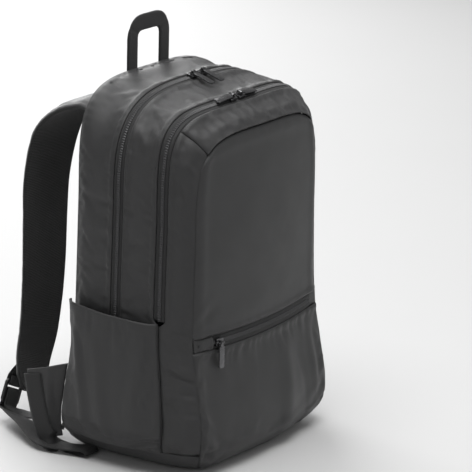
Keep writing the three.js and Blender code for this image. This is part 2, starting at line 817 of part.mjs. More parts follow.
/** Outward normal of a shoulder strap at a share of its length. */
function strapNormal(t) {
  return strapFacing.getPoint(t).cross(strapLine.getTangent(t)).normalize();
}

/** Point over a shoulder strap's middle, at a share of its length. */
function overStrap(t, lift) {
  return strapLine.getPoint(t).addScaledVector(strapNormal(t), lift);
}

const patchShares = [0.79, 0.83, 0.865];
const patchPoints = [
  ...patchShares.map((share) => overStrap(share, strapFace)),
  buckleAt(-patchLeave, 0),
  buckleAt(-patchMeet, face),
  buckleAt(upperBar + barTurn, face),
  buckleAt(upperBar + barWrap, barWrap),
  buckleAt(upperBar + barOver, 0),
  buckleAt(upperBar + barWrap, -barWrap),
  buckleAt(upperBar + barTurn, -face),
  buckleAt(-patchEnd, -face),
];
const patchWidths = patchPoints.map((_, k) => {
  if (k >= patchShares.length) {
    return buckleSide.clone();
  }
  const normal = strapNormal(patchShares[k]);
  return buckleSide.clone().addScaledVector(normal, -normal.dot(buckleSide));
});
pair("strap_patch", webbing(patchPoints, patchWidths), finishes.webbing);

// The lower webbing: sewn on the tab's rear edge, down to the floor, back under itself, up round the buckle's
// middle bar and away as a free tail

const tabOuter = outline(alongAt(tabTop, 0), 0).x;
const stripOver = tabWall / 2 + seamGap + webbingWall / 2;
const stripX = tabOuter + tabFlare + stripOver;

/** A place of the lower webbing over the floor, with the direction across it. */
function overFloor({ out, back, high, width }) {
  return {
    at: new THREE.Vector3(out * floorSpread, back * floorReach, high * floorRise),
    width: new THREE.Vector3(...width),
  };
}

/** A place of the lower webbing on the tab, with the direction across it. */
function onTab({ back, high, lean }) {
  const at = new THREE.Vector3(stripX, back * tabTopEnd, high * tabTop);
  return { at, width: new THREE.Vector3(0, 1, lean) };
}

/** A place of the lower webbing at the buckle: a distance down along it and a distance out of its plane. */
function byBuckle(down, out) {
  return { at: buckleAt(down, out), width: buckleSide };
}

const buckleEnd = buckleLength / 2;
const loadPath = [
  ...tabRun.map(onTab),
  {
    at: new THREE.Vector3(stripX - 1, floorTurn.back, floorTurn.high),
    width: new THREE.Vector3(0.75, 0.55, 0),
  },
  ...floorRun.map(overFloor),
  byBuckle(buckleEnd + loadMeet, face + loadLift),
  byBuckle(buckleEnd, face),
  byBuckle(middleBar - barTurn, face),
  byBuckle(middleBar - barWrap, barWrap),
  byBuckle(middleBar - barOver, 0),
  byBuckle(middleBar - barWrap, -barWrap),
  byBuckle(middleBar - barTurn, -face),
  byBuckle(buckleEnd, -face),
  byBuckle(buckleEnd + tailLeave, -face - tailDrop),
  ...tailRun.map(overFloor),
];
pair(
  "strap_webbing",
  webbing(
    loadPath.map(({ at }) => at),
    loadPath.map(({ width }) => width.clone()),
  ),
  finishes.webbing,
);

/** A tab: a cloth from the side seam of the back out to the webbing. */
const tab = bend(steps(0, 1, 5), steps(0, 1, 3), (out, up, side) => {
  const root = THREE.MathUtils.lerp(tabFoot, tabTop, up);
  const end = THREE.MathUtils.lerp(tabEndFoot, tabEndTop, up);
  const z = THREE.MathUtils.lerp(root, end, out);
  const from = backFace(z) + backPuff * 0.5 + seamGap;
  const y = THREE.MathUtils.lerp(from, THREE.MathUtils.lerp(tabFootEnd, tabTopEnd, up), out);
  const turn = Math.min(1, out * tabBend);
  return new THREE.Vector3(tabOuter + tabFlare * turn + tabWall * (side - 0.5), y, z);
});
pair("strap_tab", tab, finishes.nylon);

// Haul handle: a webbing loop sewn on the back panel under its top seam

const handleFoot = backSet + seamGap + handleWall / 2 + 1;
const handleSeam = bodyHeight * follow(girthRows, "across", "rise", 0);
const handlePath = [
  { x: handleSpread, z: handleSeam - handleTail, width: [1, 0] },
  { x: handleSpread, z: handleSeam, width: [1, 0] },
  { x: handleSpread, z: handleSeam + handleRise * 0.5, width: [1, 0] },
  { x: handleSpread - handleFold / 9, z: handleSeam + handleRise * 0.8, width: [0.92, 0.38] },
  { x: handleSpread - handleFold, z: handleSeam + handleRise, width: [0.38, 0.92] },
  { x: 0, z: handleSeam + handleRise + handleCrown, width: [0, 1] },
];
const handleLeft = handlePath.map(({ x, z, width }) => ({ x: -x, z, width: [width[0], -width[1]] }));
const handleRight = handlePath
  .slice(0, -1)
  .map(({ x, z, width }) => ({ x, z, width: [-width[0], -width[1]] }));
const handleRows = [...handleLeft, ...handleRight.reverse()];
piece(
  "haul_handle",
  webbing(
    handleRows.map(({ x, z }) => new THREE.Vector3(x, handleFoot, z)),
    handleRows.map(({ width }) => new THREE.Vector3(width[0], 0, width[1])),
    handleWidth,
    handleWall,
  ),
  finishes.webbing,
);

// Sliders and pulls: x along the zip, z away from the cloth

const sliderTop = sliderLift + sliderHeight;
const eyeRadius = barRadius + playGap + pullRing;
const railHeight = sliderTop + playGap + eyeRadius;
const channelHeight = seamGap + coilHeight + playGap;
const sliderPlate = roundedPlate(sliderLength, sliderWidth, sliderHeight, 1.6);
const channel = block(2 * sliderLength, coilWidth + 2 * playGap, 2 * channelHeight);
const sliderBody = solid(sliderPlate.translate(0, 0, sliderLift + sliderHeight / 2)).subtract(solid(channel));

/** A slider: its body straddles the coil and carries a bridge bar between two posts. */
function slider(spin) {
  const span = sliderWidth;
  const bar = new THREE.CylinderGeometry(barRadius, barRadius, span, 8).rotateZ(Math.PI / 2);
  let bridge = solid(bar.translate(0, 0, railHeight));
  const postTall = railHeight + barRadius - sliderTop + postSink;
  for (const end of [-1, 1]) {
    const post = block(postWidth, 2 * barRadius, postTall);
    const middle = railHeight + barRadius - postTall / 2;
    bridge = bridge.add(solid(post.translate((end * (span - postWidth)) / 2, 0, middle)));
  }
  return geometryOf(sliderBody.add(bridge.rotate([0, 0, spin])));
}

/** A pull: a flat plate with an eye round the bridge bar, lying along its own x from the bar. */
function pull() {
  const plate = roundedPlate(pullLength, pullWidth, pullWall, 2).translate(pullLength / 2, 0, 0);
  const eye = new THREE.CylinderGeometry(eyeRadius, eyeRadius, pullNeck, 12);
  const hole = new THREE.CylinderGeometry(barRadius + playGap, barRadius + playGap, 2 * pullWidth, 12);
  let made = solid(plate);
  for (const edge of [-1, 1]) {
    const middle = (edge * (pullNeck + pullWidth)) / 2;
    const waste = block(4 * eyeRadius, pullWidth, 4 * pullWall, new THREE.Vector3(0, middle, 0));
    made = made.subtract(solid(waste));
  }
  return made.add(solid(eye)).subtract(solid(hole));
}

/** Adds a slider and its pull: the zip's place and ways, the bridge's spin and the pull's fall. */
function slideAndPull(name, { at, ahead, away }, spin, fall) {
  const sideways = away.clone().cross(ahead).normalize();
  const frame = new THREE.Matrix4().makeBasis(away.clone().cross(sideways).negate(), sideways, away);
  frame.setPosition(at);
  piece(`${name}_slider`, slider(spin).applyMatrix4(frame), finishes.metal);
  const swing = new THREE.Matrix4()
    .makeTranslation(0, 0, railHeight)
    .multiply(new THREE.Matrix4().makeRotationZ(THREE.MathUtils.degToRad(spin - 90)))
    .multiply(new THREE.Matrix4().makeRotationY(THREE.MathUtils.degToRad(fall)));
  piece(`${name}_pull`, geometryOf(pull()).applyMatrix4(frame.clone().multiply(swing)), finishes.metal);
}

/** Place on a zip round the bag. */
function roundPlace(along, at) {
  const ahead = shell(along + 1e-3, at).sub(shell(along - 1e-3, at)).normalize();
  return { at: shell(along, at), ahead, away: shellNormal(along, at) };
}

/** Place on the pocket zip. */
function windowPlace(x) {
  const z = windowLine(0, x);
  const forward = frontFace(x + 1, z) - frontFace(x - 1, z);
  const climb = windowLine(0, x + 1) - windowLine(0, x - 1);
  const ahead = new THREE.Vector3(2, forward, climb).normalize();
  const away = ahead.clone().cross(upward).normalize();
  return { at: new THREE.Vector3(x, frontFace(x, z), z), ahead, away };
}

slideAndPull("main_left", roundPlace(-0.013, mainZipAt), 0, 7);
slideAndPull("main_right", roundPlace(0.022, mainZipAt), 0, 7);
slideAndPull("front_left", roundPlace(-0.034, frontZipAt), -90, 5);
slideAndPull("front_right", roundPlace(-0.004, frontZipAt), 90, 5);
slideAndPull("pocket", windowPlace(-86), 0, -3);

export default part;
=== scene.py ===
"""Looks of a laptop backpack: sewn nylon, zips, padded straps, webbing and small hardware.

Metres, +Z up. The front of the bag faces -Y and the wearer's left is -X. The bag stands on z = 0.
"""

import logging
import math
from dataclasses import dataclass, field
from enum import Enum
from typing import Callable, Sequence

import bmesh
import bpy
import numpy as np
from mathutils import Matrix, Vector, noise


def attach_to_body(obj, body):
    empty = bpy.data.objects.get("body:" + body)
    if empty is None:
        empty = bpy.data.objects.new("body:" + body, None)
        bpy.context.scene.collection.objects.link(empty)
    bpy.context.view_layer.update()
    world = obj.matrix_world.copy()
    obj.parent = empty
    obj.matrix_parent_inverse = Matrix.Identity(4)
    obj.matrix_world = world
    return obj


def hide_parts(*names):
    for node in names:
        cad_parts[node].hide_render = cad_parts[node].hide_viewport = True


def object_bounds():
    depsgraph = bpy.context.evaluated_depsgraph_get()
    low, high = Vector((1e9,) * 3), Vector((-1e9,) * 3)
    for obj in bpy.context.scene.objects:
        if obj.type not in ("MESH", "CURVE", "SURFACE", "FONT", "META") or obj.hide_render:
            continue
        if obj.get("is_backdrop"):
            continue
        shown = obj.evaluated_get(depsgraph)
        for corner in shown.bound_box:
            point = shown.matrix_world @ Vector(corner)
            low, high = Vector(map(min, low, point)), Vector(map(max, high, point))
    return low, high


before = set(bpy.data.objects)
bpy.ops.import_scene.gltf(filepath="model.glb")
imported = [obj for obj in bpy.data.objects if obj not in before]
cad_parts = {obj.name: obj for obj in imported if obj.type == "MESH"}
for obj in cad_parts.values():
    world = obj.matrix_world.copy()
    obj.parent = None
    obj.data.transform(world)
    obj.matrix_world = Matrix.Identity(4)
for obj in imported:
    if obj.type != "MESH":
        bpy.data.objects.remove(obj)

log = logging.getLogger("backpack")
Array = np.ndarray
Place = Callable[[Array, Array], Array]
UV_NAME = "weave"
STITCH_ROW = 0.0032
SMALLEST_SHEET = 0.01


class Side(Enum):
    """Which half of the bag a paired piece belongs to."""

    LEFT = -1
    RIGHT = 1

    @property
    def tag(self) -> str:
        """Ending of the piece's name."""
        return self.name.lower()


class Carrier(Enum):
    """The moving bodies that pieces ride on."""

    BAG = "bag"
    MAIN_LEFT = "main_left_pull"
    MAIN_RIGHT = "main_right_pull"
    FRONT_LEFT = "front_left_pull"
    FRONT_RIGHT = "front_right_pull"
    POCKET = "pocket_pull"


# Shader maths


class Graph:
    """Adds nodes to one material."""

    def __init__(self, name: str) -> None:
        """Starts an empty node tree.

        Args:
            name: name of the material.
        """
        self.material = bpy.data.materials.new(name)
        self.material.use_nodes = True
        self.tree = self.material.node_tree
        self.tree.nodes.clear()

    def add(self, kind: str, settings: dict | None = None, sockets: dict | None = None) -> bpy.types.Node:
        """Adds one node.

        Args:
            kind: the node's type.
            settings: properties of the node, set before its sockets.
            sockets: a value, a Value or an output for each input, by name or number.
        Returns:
            The node.
        """
        node = self.tree.nodes.new(kind)
        for key, value in (settings or {}).items():
            if key == "stops":
                ramp = node.color_ramp
                while len(ramp.elements) < len(value):
                    ramp.elements.new(1.0)
                for element, (at, shade) in zip(ramp.elements, value):
                    element.position = at
                    element.color = (shade, shade, shade, 1.0)
            else:
                setattr(node, key, value)
        for key, value in (sockets or {}).items():
            if isinstance(value, Value):
                self.tree.links.new(value.socket, node.inputs[key])
            elif isinstance(value, bpy.types.NodeSocket):
                self.tree.links.new(value, node.inputs[key])
            else:
                node.inputs[key].default_value = value
        return node

    def weave_place(self) -> tuple["Value", "Value"]:
        """Distances along and across a piece's cloth, in metres."""
        chart = self.add("ShaderNodeUVMap", {"uv_map": UV_NAME})
        parts = self.add("ShaderNodeSeparateXYZ", sockets={0: chart.outputs[0]})
        return Value(self, parts.outputs[0]), Value(self, parts.outputs[1])

    def cloud(self, scale: float, detail: float = 3.0, stretch: tuple[float, float, float] = (1, 1, 1)) -> "Value":
        """Soft noise in object space, from 0 to 1."""
        spot = self.add("ShaderNodeTexCoord")
        mapped = self.add("ShaderNodeMapping", sockets={"Vector": spot.outputs["Object"], "Scale": stretch})
        made = self.add(
            "ShaderNodeTexNoise", sockets={"Vector": mapped.outputs[0], "Scale": scale, "Detail": detail}
        )
        return Value(self, made.outputs[0])

    def tinted(self, shade: tuple[float, float, float], strength: "Value") -> bpy.types.NodeSocket:
        """A colour made lighter or darker by a value."""
        made = self.add(
            "ShaderNodeVectorMath",
            {"operation": "SCALE"},
            {0: shade, "Scale": strength},
        )
        return made.outputs[0]

    def finish(self, fixed: dict, varying: dict, height: "Value", depth: float, strength: float = 1.0) -> None:
        """Closes the material with one principled shader.

        Args:
            fixed: even values of the shader's sockets.
            varying: linked values of its sockets.
            height: relief, from 0 to 1.
            depth: metres between heights 0 and 1.
            strength: strength of the relief.
        """
        bump = self.add("ShaderNodeBump", sockets={"Height": height, "Distance": depth, "Strength": strength})
        shader = self.add("ShaderNodeBsdfPrincipled", sockets={**fixed, **varying, "Normal": bump.outputs[0]})
        self.add("ShaderNodeOutputMaterial", sockets={"Surface": shader.outputs[0]})


class Value:
    """A number that varies over a surface and takes part in arithmetic."""

    def __init__(self, graph: Graph, socket: bpy.types.NodeSocket) -> None:
        """Wraps an output of a node."""
        self.graph = graph
        self.socket = socket

    def maths(self, operation: str, *others: "Value | float", first: "Value | float | None" = None) -> "Value":
        """Adds one Math node that starts with this value, or with another first."""
        terms = [self, *others] if first is None else [first, self]
        node = self.graph.add("ShaderNodeMath", {"operation": operation}, dict(enumerate(terms)))
        return Value(self.graph, node.outputs[0])

    def __add__(self, other: "Value | float") -> "Value":
        """Sum."""
        return self.maths("ADD", other)

    def __radd__(self, other: float) -> "Value":
        """Sum with a number in front."""
        return self.maths("ADD", other)

    def __sub__(self, other: "Value | float") -> "Value":
        """Difference."""
        return self.maths("SUBTRACT", other)

    def __rsub__(self, other: float) -> "Value":
        """Difference from a number in front."""
        return self.maths("SUBTRACT", first=other)

    def __mul__(self, other: "Value | float") -> "Value":
        """Product."""
        return self.maths("MULTIPLY", other)

    def __rmul__(self, other: float) -> "Value":
        """Product with a number in front."""
        return self.maths("MULTIPLY", other)

    def __truediv__(self, other: "Value | float") -> "Value":
        """Quotient."""
        return self.maths("DIVIDE", other)

    def __pow__(self, other: float) -> "Value":
        """Power."""
        return self.maths("POWER", other)

    def wave(self, pitch: float, phase: float = 0.0) -> "Value":
        """Sine of this distance, once for each pitch."""
        return (self * (2 * math.pi / pitch) + phase).maths("SINE")

    def above(self) -> "Value":
        """This value, or 0 where it is negative."""
        return self.maths("MAXIMUM", 0.0)

    def size(self) -> "Value":
        """This value without its sign."""
        return self.maths("ABSOLUTE")


# Finishes


@dataclass(frozen=True)
class Nylon:
    """Plain-woven nylon with a faint sheen."""

    name: str = "bag_nylon"
    shade: tuple[float, float, float] = (0.026, 0.026, 0.0267)
    pitch: float = 0.0011
    relief: float = 0.00016
    roughness: float = 0.5

    def material(self) -> bpy.types.Material:
        """Builds the material."""
        graph = Graph(self.name)
        along, across = graph.weave_place()
        weave = along.wave(self.pitch) * across.wave(self.pitch)
        slub = graph.cloud(420, 4)
        patches = graph.cloud(9, 3)
        wear = graph.cloud(46, 4)
        strength = 0.86 + weave * 0.05 + slub * 0.1 + patches * 0.18
        rough = self.roughness - 0.05 + wear * 0.12
        height = weave * 0.4 + slub * 0.5 + 0.5
        fixed = {"Sheen Weight": 0.1, "Sheen Roughness": 0.4, "Specular IOR Level": 0.5}
        varying = {"Base Color": graph.tinted(self.shade, strength), "Roughness": rough}
        graph.finish(fixed, varying, height, self.relief)
        return graph.material


@dataclass(frozen=True)
class SpacerMesh:
    """Black knitted mesh with rows of small open cells, darkened inside them with painted shade."""

    name: str = "strap_mesh"
    shade: tuple[float, float, float] = (0.0085, 0.0085, 0.0088)
    pitch: float = 0.0042
    relief: float = 0.0011
    roughness: float = 0.78

    def material(self) -> bpy.types.Material:
        """Builds the material."""
        graph = Graph(self.name)
        along, across = graph.weave_place()
        cells = (along.wave(self.pitch) * across.wave(self.pitch * 0.72)).size() ** 0.7
        knit = along.wave(self.pitch / 5) * across.wave(self.pitch / 5)
        fuzz = graph.cloud(600, 3)
        # The colour is much darker inside the open cells: painted shade in the holes, beside the bump that sinks them.
        strength = 1.5 - cells * 1.25 + knit * 0.08 + fuzz * 0.2
        height = 1 - cells * 0.9 + knit * 0.05
        fixed = {"Sheen Weight": 0.2, "Sheen Roughness": 0.6, "Specular IOR Level": 0.25}
        fixed["Roughness"] = self.roughness
        graph.finish(fixed, {"Base Color": graph.tinted(self.shade, strength)}, height, self.relief)
        return graph.material


@dataclass(frozen=True)
class Webbing:
    """Ribbed woven strapping."""

    name: str = "ribbed_webbing"
    shade: tuple[float, float, float] = (0.015, 0.015, 0.0155)
    rib: float = 0.0022
    pick: float = 0.0013
    relief: float = 0.0003
    roughness: float = 0.66

    def material(self) -> bpy.types.Material:
        """Builds the material."""
        graph = Graph(self.name)
        along, across = graph.weave_place()
        chevron = (along + across.wave(self.rib) * (self.pick * 0.35)).wave(self.pick)
        ribs = across.wave(self.rib).size()
        fuzz = graph.cloud(500, 4)
        strength = 0.78 + ribs * 0.14 + chevron * 0.1 + fuzz * 0.22
        height = ribs * 0.5 + chevron * 0.25 + fuzz * 0.25
        fixed = {"Sheen Weight": 0.15, "Sheen Roughness": 0.5, "Specular IOR Level": 0.35}
        varying = {"Base Color": graph.tinted(self.shade, strength), "Roughness": self.roughness + fuzz * 0.12}
        graph.finish(fixed, varying, height, self.relief)
        return graph.material


@dataclass(frozen=True)
class ZipTape:
    """Woven zip tape: fine ribs along it."""

    name: str = "zip_tape"
    shade: tuple[float, float, float] = (0.021, 0.021, 0.0217)
    rib: float = 0.0013
    pick: float = 0.0008
    relief: float = 0.00022
    roughness: float = 0.62

    def material(self) -> bpy.types.Material:
        """Builds the material."""
        graph = Graph(self.name)
        along, across = graph.weave_place()
        ribs = across.wave(self.rib)
        picks = (along + ribs * (self.pick * 0.3)).wave(self.pick)
        fuzz = graph.cloud(380, 3)
        strength = 0.82 + ribs * 0.09 + picks * 0.08 + fuzz * 0.2
        height = 0.5 + ribs * 0.25 + picks * 0.25
        fixed = {"Sheen Weight": 0.1, "Sheen Roughness": 0.5, "Specular IOR Level": 0.35}
        fixed["Roughness"] = self.roughness
        graph.finish(fixed, {"Base Color": graph.tinted(self.shade, strength)}, height, self.relief)
        return graph.material


@dataclass(frozen=True)
class Monofilament:
    """Smooth nylon filament of a zip coil or a sewing thread."""

    name: str = "coil_filament"
    shade: tuple[float, float, float] = (0.05, 0.05, 0.052)
    grain: float = 900
    relief: float = 0.00004
    roughness: float = 0.36

    def material(self) -> bpy.types.Material:
        """Builds the material."""
        graph = Graph(self.name)
        grain = graph.cloud(self.grain, 2)
        varying = {
            "Base Color": graph.tinted(self.shade, 0.85 + grain * 0.3),
            "Roughness": self.roughness + grain * 0.12,
        }
        graph.finish({"Specular IOR Level": 0.5}, varying, grain, self.relief)
        return graph.material


@dataclass(frozen=True)
class LiningCloth:
    """Thin plain lining, with painted crease shading."""

    name: str = "lining_cloth"
    shade: tuple[float, float, float] = (0.2, 0.235, 0.245)
    pitch: float = 0.0008
    relief: float = 0.0001
    roughness: float = 0.6

    def material(self) -> bpy.types.Material:
        """Builds the material."""
        graph = Graph(self.name)
        along, across = graph.weave_place()
        weave = along.wave(self.pitch) * across.wave(self.pitch)
        crease_shade_cloud = graph.cloud(30, 4)
        # Lighter and darker blotches stand in for crease shading: painted shade and highlight with no relief under
        # them. The same cloud also varies the roughness.
        strength = 0.85 + weave * 0.06 + crease_shade_cloud * 0.25
        varying = {"Base Color": graph.tinted(self.shade, strength), "Roughness": self.roughness + crease_shade_cloud * 0.1}
        graph.finish({"Sheen Weight": 0.1, "Specular IOR Level": 0.4}, varying, weave * 0.5 + 0.5, self.relief)
        return graph.material


@dataclass(frozen=True)
class Gunmetal:
    """Dark plated zinc, brighter where it is rubbed."""

    name: str = "gunmetal"
    shade: tuple[float, float, float] = (0.13, 0.13, 0.134)
    roughness: float = 0.22
    relief: float = 0.00003

    def material(self) -> bpy.types.Material:
        """Builds the material."""
        graph = Graph(self.name)
        rub = graph.cloud(160, 3)
        grain = graph.cloud(1400, 2)
        varying = {
            "Base Color": graph.tinted(self.shade, 0.7 + rub * 0.7),
            "Roughness": self.roughness - 0.04 + rub * 0.16,
        }
        graph.finish({"Metallic": 0.95, "Specular IOR Level": 0.5}, varying, grain, self.relief)
        return graph.material


@dataclass(frozen=True)
class Acetal:
    """Moulded black plastic with a fine satin grain."""

    name: str = "buckle_plastic"
    shade: tuple[float, float, float] = (0.016, 0.016, 0.017)
    roughness: float = 0.42
    relief: float = 0.00005

    def material(self) -> bpy.types.Material:
        """Builds the material."""
        graph = Graph(self.name)
        grain = graph.cloud(900, 3)
        scuffs = graph.cloud(70, 5, (1, 1, 4))
        varying = {
            "Base Color": graph.tinted(self.shade, 0.8 + scuffs * 0.5),
            "Roughness": self.roughness - 0.05 + scuffs * 0.2,
        }
        graph.finish({"Specular IOR Level": 0.5}, varying, grain, self.relief)
        return graph.material


@dataclass(frozen=True)
class Slotted:
    """A finish with the name of the material slot that it stands for."""

    material: bpy.types.Material
    slot: str


class Wardrobe:
    """The finishes of the bag, each built once."""

    def __init__(self) -> None:
        """Builds every finish."""
        self.nylon = Slotted(Nylon().material(), "nylon")
        self.base = Slotted(Nylon("base_nylon", (0.03, 0.03, 0.031), 0.0014, 0.00025, 0.62).material(), "nylon")
        self.mesh = Slotted(SpacerMesh().material(), "mesh")
        self.webbing = Slotted(Webbing().material(), "webbing")
        self.tape = Slotted(ZipTape().material(), "zip")
        self.coil = Slotted(Monofilament().material(), "zip")
        self.thread = Slotted(
            Monofilament("sewing_thread", (0.035, 0.035, 0.036), 1500, 0.00003, 0.6).material(), "nylon"
        )
        self.lining = Slotted(LiningCloth().material(), "lining")
        self.metal = Slotted(Gunmetal().material(), "metal")
        self.plastic = Slotted(Acetal().material(), "plastic")


# Small numeric helpers


def mix(low: Array | float, high: Array | float, share: Array | float) -> Array:
    """Value between two others at a share."""
    return np.asarray(low) * (1 - share) + np.asarray(high) * share


def remap(value: Array, a: float, b: float, c: Array | float, d: Array | float) -> Array:
    """Carries a value from the range a to b over to the range c to d."""
    return c + (np.asarray(value) - a) / (b - a) * (np.asarray(d) - c)


def swell(share: Array, power: float = 0.6) -> Array:
    """Rises from 0 at both ends of a share to 1 between them."""
    return np.maximum(0.0, np.sin(np.pi * np.clip(share, 0, 1))) ** power


def unit(vectors: Array) -> Array:
    """The same directions with length 1."""
    return vectors / np.maximum(np.linalg.norm(vectors, axis=-1, keepdims=True), 1e-12)


def stack(x: Array, y: Array, z: Array) -> Array:
    """Rows of points from their coordinates."""
    return np.stack(np.broadcast_arrays(x, y, z), axis=-1).astype(float)


def clouds(x: Array, y: Array, scale: float, seed: float) -> Array:
    """Soft noise from -1 to 1 over two distances in metres."""
    return np.array([noise.noise(Vector((a / scale, b / scale, seed))) for a, b in zip(x, y)])


@dataclass(frozen=True)
class Table:
    """Named columns of values at rising keys, followed smoothly."""

    keys: tuple[float, ...]
    columns: dict[str, tuple[float, ...]]

    def at(self, column: str, where: Array | float) -> Array:
        """Smooth value of a column.

        Args:
            column: name of the column.
            where: keys to follow it to.
        Returns:
            The values.
        """
        keys = np.array(self.keys)
        values = np.array(self.columns[column])
        where = np.asarray(where, float)
        k = np.clip(np.searchsorted(keys, where, side="left"), 1, len(keys) - 1)
        back, on = np.maximum(k - 2, 0), np.minimum(k + 1, len(keys) - 1)
        span = keys[k] - keys[k - 1]
        t = (where - keys[k - 1]) / span
        leave = (values[k] - values[back]) / (keys[k] - keys[back]) * span
        arrive = (values[on] - values[k - 1]) / (keys[on] - keys[k - 1]) * span
        slopes = t * (1 - t) * ((1 - t) * leave - t * arrive)
        return values[k - 1] * (1 + 2 * t) * (1 - t) ** 2 + values[k] * t * t * (3 - 2 * t) + slopes


DEPTH = Table((0, 0.05, 0.12, 0.24, 0.36, 0.6, 1), {"depth": (0.81, 0.915, 0.96, 0.915, 0.865, 0.85, 0.85)})
SAG = Table((0, 0.08, 0.17, 0.3, 0.36, 1), {"out": (0.55, 1, 0.75, 0.1, 0, 0)})
GIRTH = Table(
    (0, 0.08, 0.2, 0.4, 0.78, 0.9, 1),
    {
        "spread": (0.94, 0.975, 0.98, 0.985, 0.96, 0.925, 0.865),
        "rise": (1.01, 1.014, 1.008, 1.0, 0.966, 0.946, 0.912),
        "corner": (4.0, 3.4, 3.0, 3.4, 5.0, 4.8, 4.2),
    },
)


@dataclass(frozen=True)
class BagForm:
    """Outer form of the bag, the same as its solids have."""

    height: float = 0.435
    width: float = 0.294
    depth: float = 0.18
    back_set: float = 0.078
    crown: float = 0.012
    shoulder_drop: float = 0.125
    corner_width: float = 0.042
    corner_height: float = 0.05
    base_rim: float = 0.027
    shoulder_taper: float = 0.972
    foot_taper: float = 1.03
    back_sag: float = 0.015
    wall: float = 0.0018
    lining: float = 0.0012
    gap: float = 0.0003
    over_top: float = 0.4
    down_side: float = 0.9
    base_flat: float = 1.12
    base_middle: float = 1.3
    top_corner: float = 0.2

    def front_face(self, x: Array, z: Array) -> Array:
        """Depth coordinate of the front panel."""
        rim = self.depth * DEPTH.at("depth", z / self.height)
        return self.back_set - rim - self.crown * (1 - (2 * x / self.width) ** 2)

    def back_face(self, z: Array) -> Array:
        """Depth coordinate of the back panel's rim."""
        return self.back_set + self.back_sag * SAG.at("out", z / self.height)

    def outline(self, along: Array, across: Array) -> tuple[Array, Array]:
        """Point of the outline in the front view.

        Args:
            along: share of the way from the middle of the top to the base seam and on under the base.
            across: share of the depth, from the back to the front.
        Returns:
            Sideways and upward coordinates.
        """
        along, across = np.broadcast_arrays(np.asarray(along, float), np.asarray(across, float))
        spread = self.width / 2 * GIRTH.at("spread", across)
        shoulder = GIRTH.at("rise", across) * self.height - self.shoulder_drop
        foot = spread * self.foot_taper - self.corner_width
        share = np.abs(along)
        angle = (1 - np.clip(share / self.over_top, 0, 1)) * (np.pi / 2)
        c, s = np.maximum(np.cos(angle), 0), np.sin(angle)
        power = GIRTH.at("corner", across)
        bend = (c**power + s**power) ** (-1 / power)
        t = (share - self.over_top) / (self.down_side - self.over_top)
        rim = math.acos(1 - self.base_rim / self.corner_height)
        turn = np.where(
            share < 1,
            remap(share, self.down_side, 1, np.pi / 2, rim),
            remap(share, 1, self.base_flat, rim, 0),
        )
        under = foot * (self.base_middle - share) / (self.base_middle - self.base_flat)
        pick = [share < self.over_top, share < self.down_side, share < self.base_flat]
        x = np.select(
            pick,
            [
                spread * self.shoulder_taper * c * bend,
                spread * mix(self.shoulder_taper, self.foot_taper, t),
                foot + self.corner_width * np.sin(turn),
            ],
            under,
        )
        z = np.select(
            pick,
            [
                shoulder + self.shoulder_drop * s * bend,
                mix(shoulder, self.corner_height, t),
                self.corner_height * (1 - np.cos(turn)),
            ],
            0.0,
        )
        return np.where(along < 0, -1, 1) * x, z

    def inset(self, along: Array, across: Array, distance: float) -> tuple[Array, Array]:
        """Outline moved inwards by a distance."""
        step = 1e-4
        x0, z0 = self.outline(np.asarray(along) - step, across)
        x1, z1 = self.outline(np.asarray(along) + step, across)
        length = np.maximum(np.hypot(x1 - x0, z1 - z0), 1e-12)
        x, z = self.outline(along, across)
        return x + (z1 - z0) / length * distance, z - (x1 - x0) / length * distance

    def shell(self, along: Array, across: Array, deep: float = 0.0) -> Array:
        """Point of the bag's shell, a distance under its outer face."""
        x, z = self.inset(along, across, deep)
        return stack(x, mix(self.back_face(z) - deep, self.front_face(x, z) + deep, across), z)

    def normal(self, along: Array, across: Array) -> Array:
        """Outward normal of the shell."""
        step = 1e-3
        onward = self.shell(along + step, across) - self.shell(along - step, across)
        forward = self.shell(along, across + step) - self.shell(along, across - step)
        return unit(np.cross(forward, onward))

    def over(self, along: Array, across: Array, height: Array | float) -> Array:
        """Point at a height over the shell's outer face."""
        return self.shell(along, across) + self.normal(along, across) * np.reshape(height, (-1, 1))

    def along_at(self, height: Array | float, across: Array | float) -> Array:
        """Share of the outline where it passes a height."""
        shoulder = GIRTH.at("rise", across) * self.height - self.shoulder_drop
        share = (np.asarray(height) - shoulder) / (self.corner_height - shoulder)
        return mix(self.over_top, self.down_side, share)

    def under_along(self, u: Array) -> Array:
        """Place along the outline under the base, for a share from its left edge to its right edge."""
        shares = (1, 1.04, 1.08, 1.12, 1.21, 1.3, 1.21, 1.12, 1.08, 1.04, 1)
        place = np.interp(u, np.linspace(0, 1, len(shares)), shares)
        return np.where(np.asarray(u) < 0.5, -place, place)


FORM = BagForm()


# Cloth


@dataclass(frozen=True)
class Fold:
    """A soft ridge, or a valley if its rise is negative, between two places on a cloth."""

    start: tuple[float, float]
    end: tuple[float, float]
    width: float
    rise: float

    def height(self, p: Array, q: Array) -> Array:
        """Its share of the cloth's relief at distances along and across the cloth."""
        (a, b), (c, d) = self.start, self.end
        length = max(math.hypot(c - a, d - b), 1e-6)
        t = ((p - a) * (c - a) + (q - b) * (d - b)) / length**2
        bow = 0.12 * self.width * np.sin(9 * t + a * 60)
        off = ((p - a) * (d - b) - (q - b) * (c - a)) / length + bow
        ends = np.exp(-(np.maximum(0, np.maximum(-t, t - 1)) * length / self.width) ** 2)
        crest = 0.55 + 0.45 * np.sin(np.pi * np.clip(t, 0, 1))
        return self.rise * np.exp(-((off / self.width) ** 2)) * ends * crest


